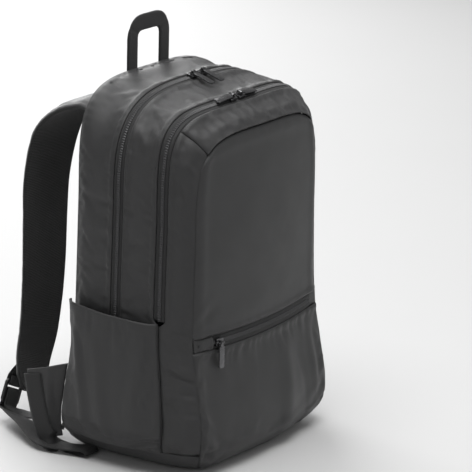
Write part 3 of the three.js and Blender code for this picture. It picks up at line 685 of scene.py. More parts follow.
@dataclass(frozen=True)
class Relief:
    """How a sewn cloth departs from its smooth shape.

    sewn tells which edges pucker, turned which are folded back and topstitched beside a zip, and seams how deep
    each edge sinks into a plain seam: less than 0 where it rolls over its neighbour.
    """

    swing: float = 0.0010
    swing_size: float = 0.075
    pucker: float = 0.0005
    pucker_pitch: float = 0.012
    pucker_reach: float = 0.011
    sewn: tuple[bool, bool, bool, bool] = (True, True, True, True)
    turned: tuple[bool, bool, bool, bool] = (False, False, False, False)
    turn_rise: float = 0.0017
    turn_width: float = 0.0065
    seams: tuple[float, float, float, float] = (0.0, 0.0, 0.0, 0.0)
    valley_width: float = 0.0045
    shoulder: float = 0.5
    shoulder_at: float = 0.013
    shoulder_width: float = 0.007
    edge_fade: float = 0.012
    fold_fade: float = 0.004
    ripple_share: float = 0.35
    pucker_start: float = 0.003
    pucker_patch: float = 0.05
    roll_blend: float = 0.0011
    lip_width: float = 0.0009
    lip_dip: float = 0.7
    row_at: float = STITCH_ROW
    row_width: float = 0.0007
    row_depth: float = 0.00035
    folds: tuple[Fold, ...] = ()
    seed: float = 1.0

    def height(self, p: Array, q: Array, length: float, width: float) -> Array:
        """Height over the smooth shape.

        Args:
            p: distances along the cloth from its first edge.
            q: distances across it.
            length: the cloth's length.
            width: the cloth's width.
        Returns:
            Heights in metres.
        """
        gaps = (p, length - p, q, width - q)
        edge = np.minimum.reduce([np.clip(g, 0, None) for g in gaps])
        free = 1 - np.exp(-((edge / self.edge_fade) ** 2))
        made = self.swing * clouds(p, q, self.swing_size, self.seed) * free
        made = made + self.ripple_share * self.swing * clouds(p, q, self.swing_size / 3, self.seed + 7) * free
        for gap, run, sewn, turned, seam in zip(gaps, (q, q, p, p), self.sewn, self.turned, self.seams):
            if sewn:
                jitter = clouds(run, gap * 0.3, self.pucker_pitch * 2.4, self.seed + 3)
                beat = np.sin(2 * np.pi * run / self.pucker_pitch + 5 * jitter)
                strong = 0.5 + 0.5 * clouds(run, gap * 0, self.pucker_patch, self.seed + 5)
                start = 1 - np.exp(-((gap / self.pucker_start) ** 2))
                reach = np.exp(-((gap / self.pucker_reach) ** 2)) * start
                made = made + self.pucker * strong * beat * reach
            if turned:
                roll = 1 / (1 + np.exp((gap - self.turn_width) / self.roll_blend))
                lip = 1 - np.exp(-((gap / self.lip_width) ** 2)) * self.lip_dip
                row = np.exp(-(((gap - self.row_at) / self.row_width) ** 2))
                made = made + self.turn_rise * roll * lip - self.row_depth * row
            if seam:
                beside = np.exp(-(((gap - self.shoulder_at) / self.shoulder_width) ** 2))
                made = made - seam * np.exp(-gap / self.valley_width) + abs(seam) * self.shoulder * beside
        for fold in self.folds:
            made = made + fold.height(p, q) * np.minimum(1, edge / self.fold_fade)
        return made


class Settled:
    """The shift of a cloth that has settled, kept on an even grid."""

    def __init__(self, shift: Array, columns: int, rows: int) -> None:
        """Keeps the shift.

        Args:
            shift: a vector for each corner of the grid, rows by columns.
            columns: spans along the cloth.
            rows: spans across it.
        """
        self.shift = shift
        self.columns = columns
        self.rows = rows

    @staticmethod
    def _spans(share: Array, count: int) -> tuple[Array, Array]:
        """Grid corners round a share and their smooth weights."""
        at = np.clip(share, 0, 1) * count
        low = np.clip(np.floor(at).astype(int), 0, count - 1)
        t = at - low
        corners = np.clip(low[:, None] + np.arange(-1, 3), 0, count)
        weights = np.stack(
            [
                -0.5 * t + t**2 - 0.5 * t**3,
                1 - 2.5 * t**2 + 1.5 * t**3,
                0.5 * t + 2 * t**2 - 1.5 * t**3,
                -0.5 * t**2 + 0.5 * t**3,
            ],
            axis=1,
        )
        return corners, weights

    def at(self, u: Array, v: Array) -> Array:
        """Shift at shares along and across the cloth."""
        columns, cu = self._spans(u, self.columns)
        rows, cv = self._spans(v, self.rows)
        near = self.shift[rows[:, :, None], columns[:, None, :]]
        return np.einsum("nijk,ni,nj->nk", near, cv, cu)


@dataclass
class Panel:
    """One sewn cloth of the bag."""

    name: str
    nodes: tuple[str, ...]
    place: Place
    length: float
    width: float
    relief: Relief = field(default_factory=Relief)
    thickness: float = FORM.wall
    cell: float = 0.0024
    dense: bool = False
    middle: tuple[float, float, float] = (0.0, -0.01, 0.2)
    settled: Settled | None = None
    facing: float = 0.0
    padded: float = 0.0
    floor: tuple[float, float, float] = (-math.inf, -math.inf, 0.0)

    def normals(self, u: Array, v: Array) -> Array:
        """Outward normals of the smooth shape."""
        step = 1e-3
        u0, u1 = np.clip(u - step, 0, 1), np.clip(u + step, 0, 1)
        v0, v1 = np.clip(v - step, 0, 1), np.clip(v + step, 0, 1)
        made = unit(np.cross(self.place(u1, v) - self.place(u0, v), self.place(u, v1) - self.place(u, v0)))
        if not self.facing:
            spots = np.linspace(0.1, 0.9, 9)
            grid_u, grid_v = (g.ravel() for g in np.meshgrid(spots, spots))
            self.facing = 1.0
            guess = self.normals(grid_u, grid_v)
            out = self.place(grid_u, grid_v) - np.array(self.middle)
            self.facing = 1.0 if (guess * unit(out)).sum() > 0 else -1.0
        return made * self.facing

    def points(self, u: Array, v: Array, lift: float = 0.0) -> Array:
        """Places on the finished cloth, at a lift over it."""
        u, v = np.asarray(u, float), np.asarray(v, float)
        rise = self.relief.height(u * self.length, v * self.width, self.length, self.width) + lift
        made = self.place(u, v) + self.normals(u, v) * rise[:, None]
        if self.settled is not None:
            made = made + self.settled.at(u, v)
        return np.maximum(made, self.floor)

    def warp(self, share: Array) -> Array:
        """Shares that crowd towards both edges, where the cloth is turned in."""
        return mix(share, 0.5 - 0.5 * np.cos(np.pi * share), 0.75) if self.dense else share

    def build(self, finish: Slotted) -> bpy.types.Object:
        """Makes the cloth as one object.

        Args:
            finish: its material and slot.
        Returns:
            The object, riding on the bag.
        """
        columns = max(4, round(self.length / self.cell))
        rows = max(4, round(self.width / self.cell * (1.5 if self.dense else 1.0)))
        cloth = bmesh.new()
        bmesh.ops.create_grid(cloth, x_segments=columns, y_segments=rows, size=0.5)
        flat = np.array([vertex.co[:2] for vertex in cloth.verts]) + 0.5
        u, v = np.clip(flat[:, 0], 0, 1), self.warp(np.clip(flat[:, 1], 0, 1))
        for vertex, spot in zip(cloth.verts, self.points(u, v)):
            vertex.co = spot
        if self.facing < 0:
            bmesh.ops.reverse_faces(cloth, faces=cloth.faces[:])
        made = finish_mesh(self.name, cloth, finish)
        spots = np.array([vertex.co for vertex in made.data.vertices]).reshape(rows + 1, columns + 1, 3)
        chart(made, u * self.length, v * self.width)
        if self.thickness:
            wall = made.modifiers.new("wall", "SOLIDIFY")
            wall.thickness = self.thickness
            wall.offset = -1
            wall.use_even_offset = False
        attach(made, Carrier.BAG, self.nodes)
        if self.padded:
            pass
        else:
            declare_sheet(spots)
        return made


def finish_mesh(name: str, made: bmesh.types.BMesh, finish: Slotted) -> bpy.types.Object:
    """Turns a bmesh into a smooth shaded object."""
    mesh = bpy.data.meshes.new(name)
    for face in made.faces:
        face.smooth = True
    made.to_mesh(mesh)
    made.free()
    thing = bpy.data.objects.new(name, mesh)
    mesh.materials.append(finish.material)
    bpy.context.scene.collection.objects.link(thing)
    return thing


def chart(thing: bpy.types.Object, u: Array, v: Array) -> None:
    """Gives a mesh the distances along and across its cloth as a UV map."""
    layer = thing.data.uv_layers.new(name=UV_NAME)
    corners = np.empty(len(thing.data.loops), int)
    thing.data.loops.foreach_get("vertex_index", corners)
    pairs = np.stack([u[corners], v[corners]], axis=1)
    layer.data.foreach_set("uv", pairs.ravel().astype(np.float32))


def attach(thing: bpy.types.Object, carrier: Carrier, nodes: Sequence[str] = ()) -> None:
    """Says what a piece rides on and hides the solids that it stands for."""
    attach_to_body(thing, carrier.value)
    if nodes:
        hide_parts(*nodes)
    log.info("%s: %d faces", thing.name, len(thing.data.polygons))


def declare_sheet(spots: Array) -> None:
    """Measures the flat size of a piece of cloth along it, and does nothing more with it.

    Args:
        spots: places on it, rows by columns.
    """
    long = float(np.linalg.norm(np.diff(spots, axis=1), axis=2).sum(axis=1).max())
    wide = float(np.linalg.norm(np.diff(spots, axis=0), axis=2).sum(axis=0).max())
    if min(long, wide) < SMALLEST_SHEET:
        return


def mirrored(place: Place) -> Place:
    """The same places on the other half of the bag."""
    return lambda u, v: place(u, v) * np.array([-1.0, 1.0, 1.0])


@dataclass
class Settling:
    """Lets pinned cloths settle with some spare length at their seams."""

    frames: int = 16
    cell: float = 0.0055
    slack_reach: float = 0.03
    slack_patch: float = 0.05
    firm_share: float = 0.6
    pressure: float = 0.6
    weight: float = 0.15
    cloths: list[tuple[Panel, bpy.types.Object, int, int, float]] = field(default_factory=list)

    def add(
        self, panel: Panel, slack: float, cap: float, held: Callable[[Array, Array], Array] | None = None
    ) -> None:
        """Readies one cloth.

        Args:
            panel: the cloth.
            slack: spare length near its seams, as a share.
            cap: the furthest that a point may move.
            held: tells which places inside it are held by stitching.
        """
        columns, rows = (max(6, round(size / self.cell)) for size in (panel.length, panel.width))
        cloth = bmesh.new()
        bmesh.ops.create_grid(cloth, x_segments=columns, y_segments=rows, size=0.5)
        flat = np.array([vertex.co[:2] for vertex in cloth.verts]) + 0.5
        u, v = flat[:, 0], flat[:, 1]
        for vertex, spot in zip(cloth.verts, panel.place(np.clip(u, 0, 1), np.clip(v, 0, 1))):
            vertex.co = spot
        panel.normals(np.array([0.5]), np.array([0.5]))
        if panel.facing < 0:
            bmesh.ops.reverse_faces(cloth, faces=cloth.faces[:])
        mesh = bpy.data.meshes.new(f"{panel.name}_loose")
        cloth.to_mesh(mesh)
        cloth.free()
        thing = bpy.data.objects.new(mesh.name, mesh)
        bpy.context.scene.collection.objects.link(thing)
        rim = (np.minimum(u, 1 - u) < 0.5 / columns) | (np.minimum(v, 1 - v) < 0.5 / rows)
        pinned = rim | held(u, v) if held is not None else rim
        pins = thing.vertex_groups.new(name="pins")
        pins.add([int(k) for k in np.nonzero(pinned)[0]], 1.0, "REPLACE")
        firm = thing.vertex_groups.new(name="firm")
        near = np.minimum.reduce([u * panel.length, (1 - u) * panel.length, v * panel.width, (1 - v) * panel.width])
        uneven = 0.5 + 0.5 * clouds(u * panel.length, v * panel.width, self.slack_patch, panel.relief.seed + 11)
        weights = np.clip(near / self.slack_reach, 0, 1) * self.firm_share + (1 - self.firm_share) * uneven
        for k, weight in enumerate(weights):
            firm.add([k], float(np.clip(weight, 0, 1)), "REPLACE")
        cloth_modifier = thing.modifiers.new("settle", "CLOTH")
        settings = cloth_modifier.settings
        settings.quality = 5
        settings.mass = 0.2
        settings.tension_stiffness = 12
        settings.compression_stiffness = 12
        settings.shear_stiffness = 5
        settings.bending_stiffness = 0.4
        settings.vertex_group_mass = "pins"
        settings.vertex_group_shrink = "firm"
        settings.shrink_min = -slack
        settings.shrink_max = 0.0
        settings.use_pressure = True
        settings.uniform_pressure_force = self.pressure
        settings.effector_weights.gravity = self.weight
        cloth_modifier.collision_settings.use_collision = False
        cloth_modifier.point_cache.frame_start = 1
        cloth_modifier.point_cache.frame_end = self.frames
        self.cloths.append((panel, thing, columns, rows, cap))

    def run(self) -> None:
        """Runs the frames, keeps each cloth's shift and takes the loose cloths away."""
        if not self.cloths:
            return
        scene = bpy.context.scene
        for step in range(1, self.frames + 1):
            scene.frame_set(step)
        graph = bpy.context.evaluated_depsgraph_get()
        for panel, thing, columns, rows, cap in self.cloths:
            count = len(thing.data.vertices)
            rest, moved = np.empty(count * 3), np.empty(count * 3)
            thing.data.vertices.foreach_get("co", rest)
            thing.evaluated_get(graph).data.vertices.foreach_get("co", moved)
            shift = (moved - rest).reshape(-1, 3)
            far = np.maximum(np.linalg.norm(shift, axis=1, keepdims=True), 1e-9)
            shift = shift * np.tanh(far / cap) * cap / far
            shift = np.nan_to_num(shift)
            panel.settled = Settled(shift.reshape(rows + 1, columns + 1, 3), columns, rows)
            log.info("%s settled by up to %.1f mm", panel.name, 1000 * float(np.linalg.norm(shift, axis=1).max()))
            mesh = thing.data
            bpy.data.objects.remove(thing, do_unlink=True)
            bpy.data.meshes.remove(mesh)
        scene.frame_set(1)
        self.cloths.clear()


# Ribbons


class Line:
    """A smooth line through points, each stretch weighted by the distance that it spans."""

    def __init__(self, points: Sequence[Sequence[float]]) -> None:
        """Keeps the points."""
        self.dots = np.array(points, float)

    def at(self, t: Array) -> Array:
        """Places at shares of the line."""
        t = np.clip(np.asarray(t, float), 0, 1)
        last = len(self.dots) - 1
        k = np.clip(np.floor(t * last).astype(int), 0, last - 1)
        w = (t * last - k)[:, None]
        before = 2 * self.dots[0] - self.dots[1]
        after = 2 * self.dots[-1] - self.dots[-2]
        dots = np.vstack([before, self.dots, after])
        p0, p1, p2, p3 = dots[k], dots[k + 1], dots[k + 2], dots[k + 3]
        d0, d1, d2 = (
            np.maximum(np.linalg.norm(b - a, axis=1, keepdims=True), 1e-6) ** 0.5
            for a, b in ((p0, p1), (p1, p2), (p2, p3))
        )
        leave = ((p1 - p0) / d0 - (p2 - p0) / (d0 + d1) + (p2 - p1) / d1) * d1
        arrive = ((p2 - p1) / d1 - (p3 - p1) / (d1 + d2) + (p3 - p2) / d2) * d1
        second = -3 * p1 + 3 * p2 - 2 * leave - arrive
        third = 2 * p1 - 2 * p2 + leave + arrive
        return p1 + leave * w + second * w**2 + third * w**3

    def tangent(self, t: Array) -> Array:
        """Directions of the line at shares of it."""
        step = 1e-4
        return unit(self.at(np.clip(t + step, 0, 1)) - self.at(np.clip(t - step, 0, 1)))

    def length(self) -> float:
        """Length of the line."""
        spots = self.at(np.linspace(0, 1, 400))
        return float(np.linalg.norm(np.diff(spots, axis=0), axis=1).sum())

    def evenly(self, share: Array) -> Array:
        """Shares of the line for shares of its length."""
        t = np.linspace(0, 1, 600)
        gone = np.concatenate([[0], np.linalg.norm(np.diff(self.at(t), axis=0), axis=1).cumsum()])
        return np.interp(np.asarray(share) * gone[-1], gone, t)


class Ribbon:
    """A strip along a line, lying across given directions."""

    def __init__(self, points: Sequence[Sequence[float]], widths: Sequence[Sequence[float]]) -> None:
        """Keeps the line and its directions."""
        self.line = Line(points)
        self.facing = Line(widths)

    def frame(self, t: Array) -> tuple[Array, Array, Array]:
        """Middle, sideways direction and outward direction at shares of the line."""
        tangent = self.line.tangent(t)
        normal = unit(np.cross(self.facing.at(t), tangent))
        return self.line.at(t), unit(np.cross(tangent, normal)), normal

    def spot(self, t: Array, across: Array, lift: Array) -> Array:
        """Place beside and above the line's middle."""
        middle, side, normal = self.frame(t)
        return middle + side * np.reshape(across, (-1, 1)) + normal * np.reshape(lift, (-1, 1))


@dataclass
class Strip:
    """One closed webbing or pad along a ribbon."""

    name: str
    nodes: tuple[str, ...]
    ribbon: Ribbon
    high: Callable[[Array, Array], Array]
    low: Callable[[Array, Array], Array]
    half_width: Callable[[Array], Array]
    across: int = 8
    cell: float = 0.003
    side: Side = Side.RIGHT
    padded: float = 0.0

    def faces(self, high: bool) -> Place:
        """Places of the upper or the lower face for shares of the length and the width."""

        def place(u: Array, v: Array) -> Array:
            """Place for shares along and across the strip."""
            t = self.ribbon.line.evenly(u)
            column = 2 * v - 1
            lift = self.high(t, column) if high else self.low(t, column)
            made = self.ribbon.spot(t, column * self.half_width(t), lift)
            return made * np.array([self.side.value, 1, 1])

        return place

    def build(self, finish: Slotted) -> bpy.types.Object:
        """Makes the strip as one closed object.

        Args:
            finish: its material and slot.
        Returns:
            The object, riding on the bag.
        """
        length = self.ribbon.line.length()
        wide = 2 * float(self.half_width(np.array([0.3]))[0])
        rows = max(4, round(length / self.cell))
        made = bmesh.new()
        u_all, v_all = [], []
        for high in (True, False):
            new = bmesh.ops.create_grid(made, x_segments=rows, y_segments=self.across, size=0.5)["verts"]
            flat = np.array([vertex.co[:2] for vertex in new]) + 0.5
            u, v = np.clip(flat[:, 0], 0, 1), np.clip(flat[:, 1], 0, 1)
            for vertex, spot in zip(new, self.faces(high)(u, v)):
                vertex.co = spot
            u_all.append(u * length)
            v_all.append(v * wide)
        rim = [edge for edge in made.edges if edge.is_boundary]
        bmesh.ops.bridge_loops(made, edges=rim)
        bmesh.ops.recalc_face_normals(made, faces=made.faces[:])
        thing = finish_mesh(self.name, made, finish)
        chart(thing, np.concatenate(u_all), np.concatenate(v_all))
        attach(thing, Carrier.BAG, self.nodes)
        return thing


# Sewing


@dataclass
class Sewing:
    """Rows of stitches, gathered into one object."""

    name: str
    pitch: float = 0.0034
    length: float = 0.0026
    radius: float = 0.00028
    reach: float = 0.0005
    lift: float = 0.6
    sink: float = 1.5
    rows: list[tuple[Array, Array]] = field(default_factory=list)

    def row(self, spots: Array, normals: Array) -> None:
        """Adds a row along closely spaced places."""
        self.rows.append((spots, normals))

    def on_panel(self, panel: Panel, u: Array, v: Array) -> None:
        """Adds a row along places of a cloth."""
        self.row(panel.points(u, v, self.radius * self.lift), panel.normals(u, v))

    def build(self, finish: Slotted) -> bpy.types.Object:
        """Makes every stitch as a short thread with sunken ends.

        Args:
            finish: its material and slot.
        Returns:
            The object, riding on the bag.
        """
        stitch = bmesh.new()
        bmesh.ops.create_cone(
            stitch, cap_ends=True, segments=5, radius1=self.radius, radius2=self.radius, depth=self.length
        )
        bmesh.ops.rotate(stitch, verts=stitch.verts[:], cent=(0, 0, 0), matrix=Matrix.Rotation(math.pi / 2, 3, "Y"))
        lengthwise = [edge for edge in stitch.edges if abs(edge.verts[0].co.x - edge.verts[1].co.x) > self.radius]
        bmesh.ops.subdivide_edges(stitch, edges=lengthwise, cuts=2)
        for vertex in stitch.verts:
            share = abs(vertex.co.x) / (self.length / 2)
            vertex.co.z -= self.radius * self.sink * share**3
        bmesh.ops.triangulate(stitch, faces=[face for face in stitch.faces if len(face.verts) > 4])
        pattern = bpy.data.meshes.new(f"{self.name}_one")
        stitch.to_mesh(pattern)
        stitch.free()
        made = bmesh.new()
        for spots, normals in self.rows:
            for matrix in self._places(spots, normals):
                pattern.transform(matrix)
                made.from_mesh(pattern)
                pattern.transform(matrix.inverted())
        thing = finish_mesh(self.name, made, finish)
        bpy.data.meshes.remove(pattern)
        attach(thing, Carrier.BAG)
        return thing

    def _places(self, spots: Array, normals: Array) -> list[Matrix]:
        """A matrix for each stitch of a row."""
        gone = np.concatenate([[0], np.linalg.norm(np.diff(spots, axis=0), axis=1).cumsum()])
        made = []
        for at in np.arange(self.pitch / 2, gone[-1] - self.pitch / 2, self.pitch):
            ends = [
                Vector([float(np.interp(at + step, gone, spots[:, k])) for k in range(3)])
                for step in (-self.reach, self.reach)
            ]
            out = Vector([float(np.interp(at, gone, normals[:, k])) for k in range(3)]).normalized()
            ahead = (ends[1] - ends[0]).normalized()
            side = out.cross(ahead).normalized()
            out = ahead.cross(side)
            turn = Matrix((ahead, side, out)).transposed().to_4x4()
            made.append(Matrix.Translation((ends[0] + ends[1]) / 2) @ turn)
        return made


# Outer cloths and zips


@dataclass
class Body:
    """The sewn shell of the bag: gussets, side strips, front and back panels, base and zips."""

    wardrobe: Wardrobe
    form: BagForm = FORM
    tape: float = 0.016
    coil_width: float = 0.005
    coil_height: float = 0.002
    coil_pitch: float = 0.0028
    gusset_lap: float = 0.006
    window_tab: float = 0.096
    tab_lift: float = 0.0028
    tab_climb: float = 0.006
    tab_foot: float = 0.15
    coil_valley: float = 0.05
    coil_slant: float = 0.3
    coil_inset: float = 0.002
    corner_rows: tuple[tuple[float, float], tuple[float, float]] = ((0.1, 0.147), (0.138, 0.112))
    corner_gap: float = 0.009
    main_at: float = 0.4
    front_at: float = 0.78
    divider_at: float = 0.66
    main_foot: float = 0.118
    front_foot: float = 0.184
    window_height: float = 0.157
    window_droop: float = 0.004
    window_left: float = 0.121
    window_right: float = 0.107
    puff: float = 0.005
    back_puff: float = 0.004
    back_pad: float = 0.008
    panels: dict[str, Panel] = field(default_factory=dict)

    def __post_init__(self) -> None:
        """Works out the places that the panels share."""
        form = self.form
        self.half_gap = form.gap / 2 / form.depth
        self.half_tape = self.tape / 2 / form.depth
        self.window_top = float(form.along_at(self.window_height + self.tape / 2, 1.0))
        self.window_low = float(form.along_at(self.window_height - self.tape / 2, 1.0))
        self.front_end = float(form.along_at(self.front_foot, self.front_at))
        self.main_end = float(form.along_at(self.main_foot, self.main_at))

    def level(self, across: float) -> Callable[[Array], Array]:
        """The same share of the depth everywhere."""
        return lambda along: np.full(np.shape(along), across)

    def front_edge(self, offset: float) -> Callable[[Array], Array]:
        """Share of the depth of a front zip's edge, which tapers into the seam below the zip."""

        def edge(along: Array) -> Array:
            """Share of the depth at a share of the outline."""
            t = np.clip((np.abs(along) - self.front_end) / (self.window_top - self.front_end), 0, 1)
            return self.front_at + offset * (1 - t)

        return edge

    def band(
        self,
        name: str,
        nodes: tuple[str, ...],
        ends: tuple[float, float],
        rear: Callable[[Array], Array],
        front: Callable[[Array], Array],
        relief: Relief,
        **more: float,
    ) -> Panel:
        """A cloth of the shell between two shares of the outline and two edges.

        Args:
            name: the piece's name.
            nodes: the solids that it stands for.
            ends: shares of the outline where it starts and ends.
            rear: share of the depth of its rear edge.
            front: share of the depth of its front edge.
            relief: its relief.
            more: other fields of the panel.
        Returns:
            The panel.
        """
        form = self.form
        trim = form.gap / 2 / form.height
        alongs = np.linspace(ends[0] + trim, ends[1] - trim, 1200)
        middle = form.shell(alongs, (rear(alongs) + front(alongs)) / 2)
        gone = np.concatenate([[0], np.linalg.norm(np.diff(middle, axis=0), axis=1).cumsum()])

        def place(u: Array, v: Array) -> Array:
            """Place on the shell for shares along and across the band."""
            along = np.interp(u * gone[-1], gone, alongs)
            return form.shell(along, mix(rear(along) + self.half_gap, front(along) - self.half_gap, v))

        cross = np.linspace(0, 1, 30)
        line = place(np.full(30, 0.45), cross)
        width = float(np.linalg.norm(np.diff(line, axis=0), axis=1).sum())
        panel = Panel(name, nodes, place, float(gone[-1]), width, relief, **more)
        self.panels[name] = panel
        return panel

    def patch(self, edges: Sequence[Callable[[Array], Array]]) -> Callable[[Array, Array], Array]:
        """Smooth patch of the front view between its foot, top, left and right edges."""
        foot, top, left, right = edges
        zero, one = np.array([0.0]), np.array([1.0])
        corners = [foot(zero), foot(one), top(zero), top(one)]

        def spot(u: Array, v: Array) -> Array:
            """Point of the front view."""
            a, b = u[:, None], v[:, None]
            made = left(v) * (1 - a) + right(v) * a + foot(u) * (1 - b) + top(u) * b
            shares = ((1 - a) * (1 - b), a * (1 - b), (1 - a) * b, a * b)
            return made - sum(corner * share for corner, share in zip(corners, shares))

        return spot

    def rim(self, across: float, deep: float = 0.0) -> Callable[[Array], Array]:
        """Points of the outline in the front view."""
        return lambda along: np.stack(self.form.inset(along, np.full(np.shape(along), across), deep), axis=-1)

    def window_line(self, edge: float, x: Array) -> Array:
        """Height of the pocket zip's middle (0) or edges (-1 and 1)."""
        half = float(self.form.outline(np.array([self.window_top]), np.array([1.0]))[0][0])
        return self.window_height + edge * self.tape / 2 - self.window_droop * (1 - (x / half) ** 2)

    def window_edge(self, edge: float) -> Callable[[Array], Array]:
        """Points of an edge of the pocket zip, from the left seam to the right seam."""
        along = self.window_top if edge > 0 else self.window_low
        half = float(self.form.inset(np.array([along]), np.array([1.0]), 0.0)[0][0])

        def edge_points(u: Array) -> Array:
            """Points for shares from left to right."""
            x = mix(-half, half, u)
            return np.stack([x, self.window_line(edge, x)], axis=-1)

        return edge_points

    def face(
        self,
        name: str,
        nodes: tuple[str, ...],
        edges: Sequence[Callable[[Array], Array]],
        depth: Callable[[Array, Array, Array], Array],
        puff: float,
        relief: Relief,
        **more: float,
    ) -> Panel:
        """A panel of the front or the back: a patch puffed out between its seams."""
        spot = self.patch(edges)
        form = self.form

        def place(u: Array, v: Array) -> Array:
            """Place on the panel for shares from left to right and from foot to top."""
            u = np.clip(u, form.gap / 2 / form.width, 1 - form.gap / 2 / form.width)
            v = np.clip(v, form.gap / 2 / form.height, 1 - form.gap / 2 / form.height)
            flat = spot(u, v)
            return stack(flat[:, 0], depth(flat[:, 0], flat[:, 1], puff * swell(u) * swell(v)), flat[:, 1])

        run = np.linspace(0, 1, 40)
        half = np.full(40, 0.5)
        length, width = (
            float(np.linalg.norm(np.diff(line, axis=0), axis=1).sum()) for line in (place(run, half), place(half, run))
        )
        panel = Panel(name, nodes, place, length, width, relief, **more)
        self.panels[name] = panel
        return panel

    def sides(self, across: float, low: float, high: float, deep: float = 0.0) -> list[Callable[[Array], Array]]:
        """Left and right edges of a patch between two shares of the outline."""
        rim = self.rim(across, deep)
        return [lambda v: rim(-mix(low, high, v)), lambda v: rim(mix(low, high, v))]

    def design(self) -> None:
        """Lays out every cloth of the shell."""
        level, edge, half = self.level, self.front_edge, self.half_tape
        corner = self.form.top_corner
        self.band(
            "rear_gusset_cloth",
            ("rear_gusset",),
            (-self.main_end, self.main_end),
            level(-self.gusset_lap),
            level(self.main_at - half),
            Relief(
                swing=0.0017,
                swing_size=0.1,
                pucker=0.0007,
                sewn=(False, False, True, True),
                turned=(False, False, False, True),
                folds=(
                    Fold((0.545, 0.03), (0.63, 0.05), 0.009, 0.0012),
                    Fold((0.40, 0.052), (0.50, 0.02), 0.01, 0.0011),
                    Fold((0.47, 0.044), (0.515, 0.052), 0.004, 0.0012),
                ),
                seed=3.1,
            ),
            dense=True,
        )
        self.band(
            "middle_gusset_cloth",
            ("middle_gusset",),
            (-self.main_end, self.main_end),
            level(self.main_at + half),
            edge(-half),
            Relief(
                swing=0.0018,
                swing_size=0.085,
                pucker=0.0006,
                sewn=(False, False, True, True),
                turned=(False, False, True, True),
                folds=(
                    Fold((0.36, 0.008), (0.385, 0.046), 0.008, 0.0013),
                    Fold((0.40, 0.05), (0.43, 0.02), 0.006, -0.0010),
                    Fold((0.44, 0.05), (0.452, 0.035), 0.005, 0.0012),
                    Fold((0.60, 0.01), (0.66, 0.045), 0.012, 0.0012),
                ),
                seed=5.7,
            ),
            dense=True,
        )
        self.band(
            "top_band_cloth",
            ("top_band",),
            (-corner, corner),
            edge(half),
            level(1.0),
            Relief(
                swing=0.0018,
                swing_size=0.05,
                pucker=0.0013,
                pucker_pitch=0.021,
                pucker_reach=0.018,
                sewn=(True, True, False, True),
                turned=(False, False, True, False),
                seams=(0.0003, 0.0003, 0.0, -0.0012),
                folds=(
                    Fold((0.05, 0.012), (0.09, 0.03), 0.006, 0.0014),
                    Fold((0.155, 0.008), (0.175, 0.034), 0.008, -0.0013),
                ),
                seed=8.3,
            ),
            dense=True,
        )
        for side in Side:
            strip = self.band(
                f"side_strip_cloth_{side.tag}",
                (f"side_strip_{side.tag}",),
                (corner, 1.0),
                edge(half),
                level(1.0),
                Relief(
                    swing=0.0014,
                    swing_size=0.06,
                    pucker=0.0005,
                    sewn=(True, True, False, True),
                    turned=(False, False, True, False),
                    seams=(-0.0005, 0.0016, 0.0, 0.0014),
                    folds=(
                        Fold((0.275, 0.004), (0.279, 0.034), 0.0024, -0.0022),
                        Fold((0.267, 0.006), (0.27, 0.032), 0.005, 0.0016),
                        Fold((0.31, 0.004), (0.325, 0.024), 0.005, -0.0018),
                        Fold((0.32, 0.012), (0.33, 0.034), 0.004, 0.0014),
                        Fold((0.35, 0.01), (0.385, 0.034), 0.006, 0.0020),
                        Fold((0.36, 0.004), (0.375, 0.03), 0.004, -0.0018),
                        Fold((0.02, 0.01), (0.05, 0.025), 0.008, 0.0018),
                        Fold((0.06, 0.004), (0.075, 0.03), 0.007, -0.0012),
                    ),
                    seed=11.9 + side.value,
                ),
                dense=True,
            )
            panel = self.band(
                f"side_cloth_{side.tag}",
                (f"side_panel_{side.tag}",),
                (self.main_end, 1.0),
                level(0.0),
                level(self.front_at),
                Relief(swing=0.0006, pucker=0.0003, seed=14.2 + side.value),
                cell=0.004,
            )
            if side is Side.LEFT:
                strip.place = mirrored(strip.place)
                panel.place = mirrored(panel.place)
        window_up, window_down = self.window_edge(1), self.window_edge(-1)
        under = self.form.under_along

        def front_depth(x: Array, z: Array, puff: Array) -> Array:
            """Depth of the front panels."""
            return self.form.front_face(x, z) - puff

        def back_depth(x: Array, z: Array, puff: Array) -> Array:
            """Depth of the back panel."""
            return self.form.back_face(z) + puff

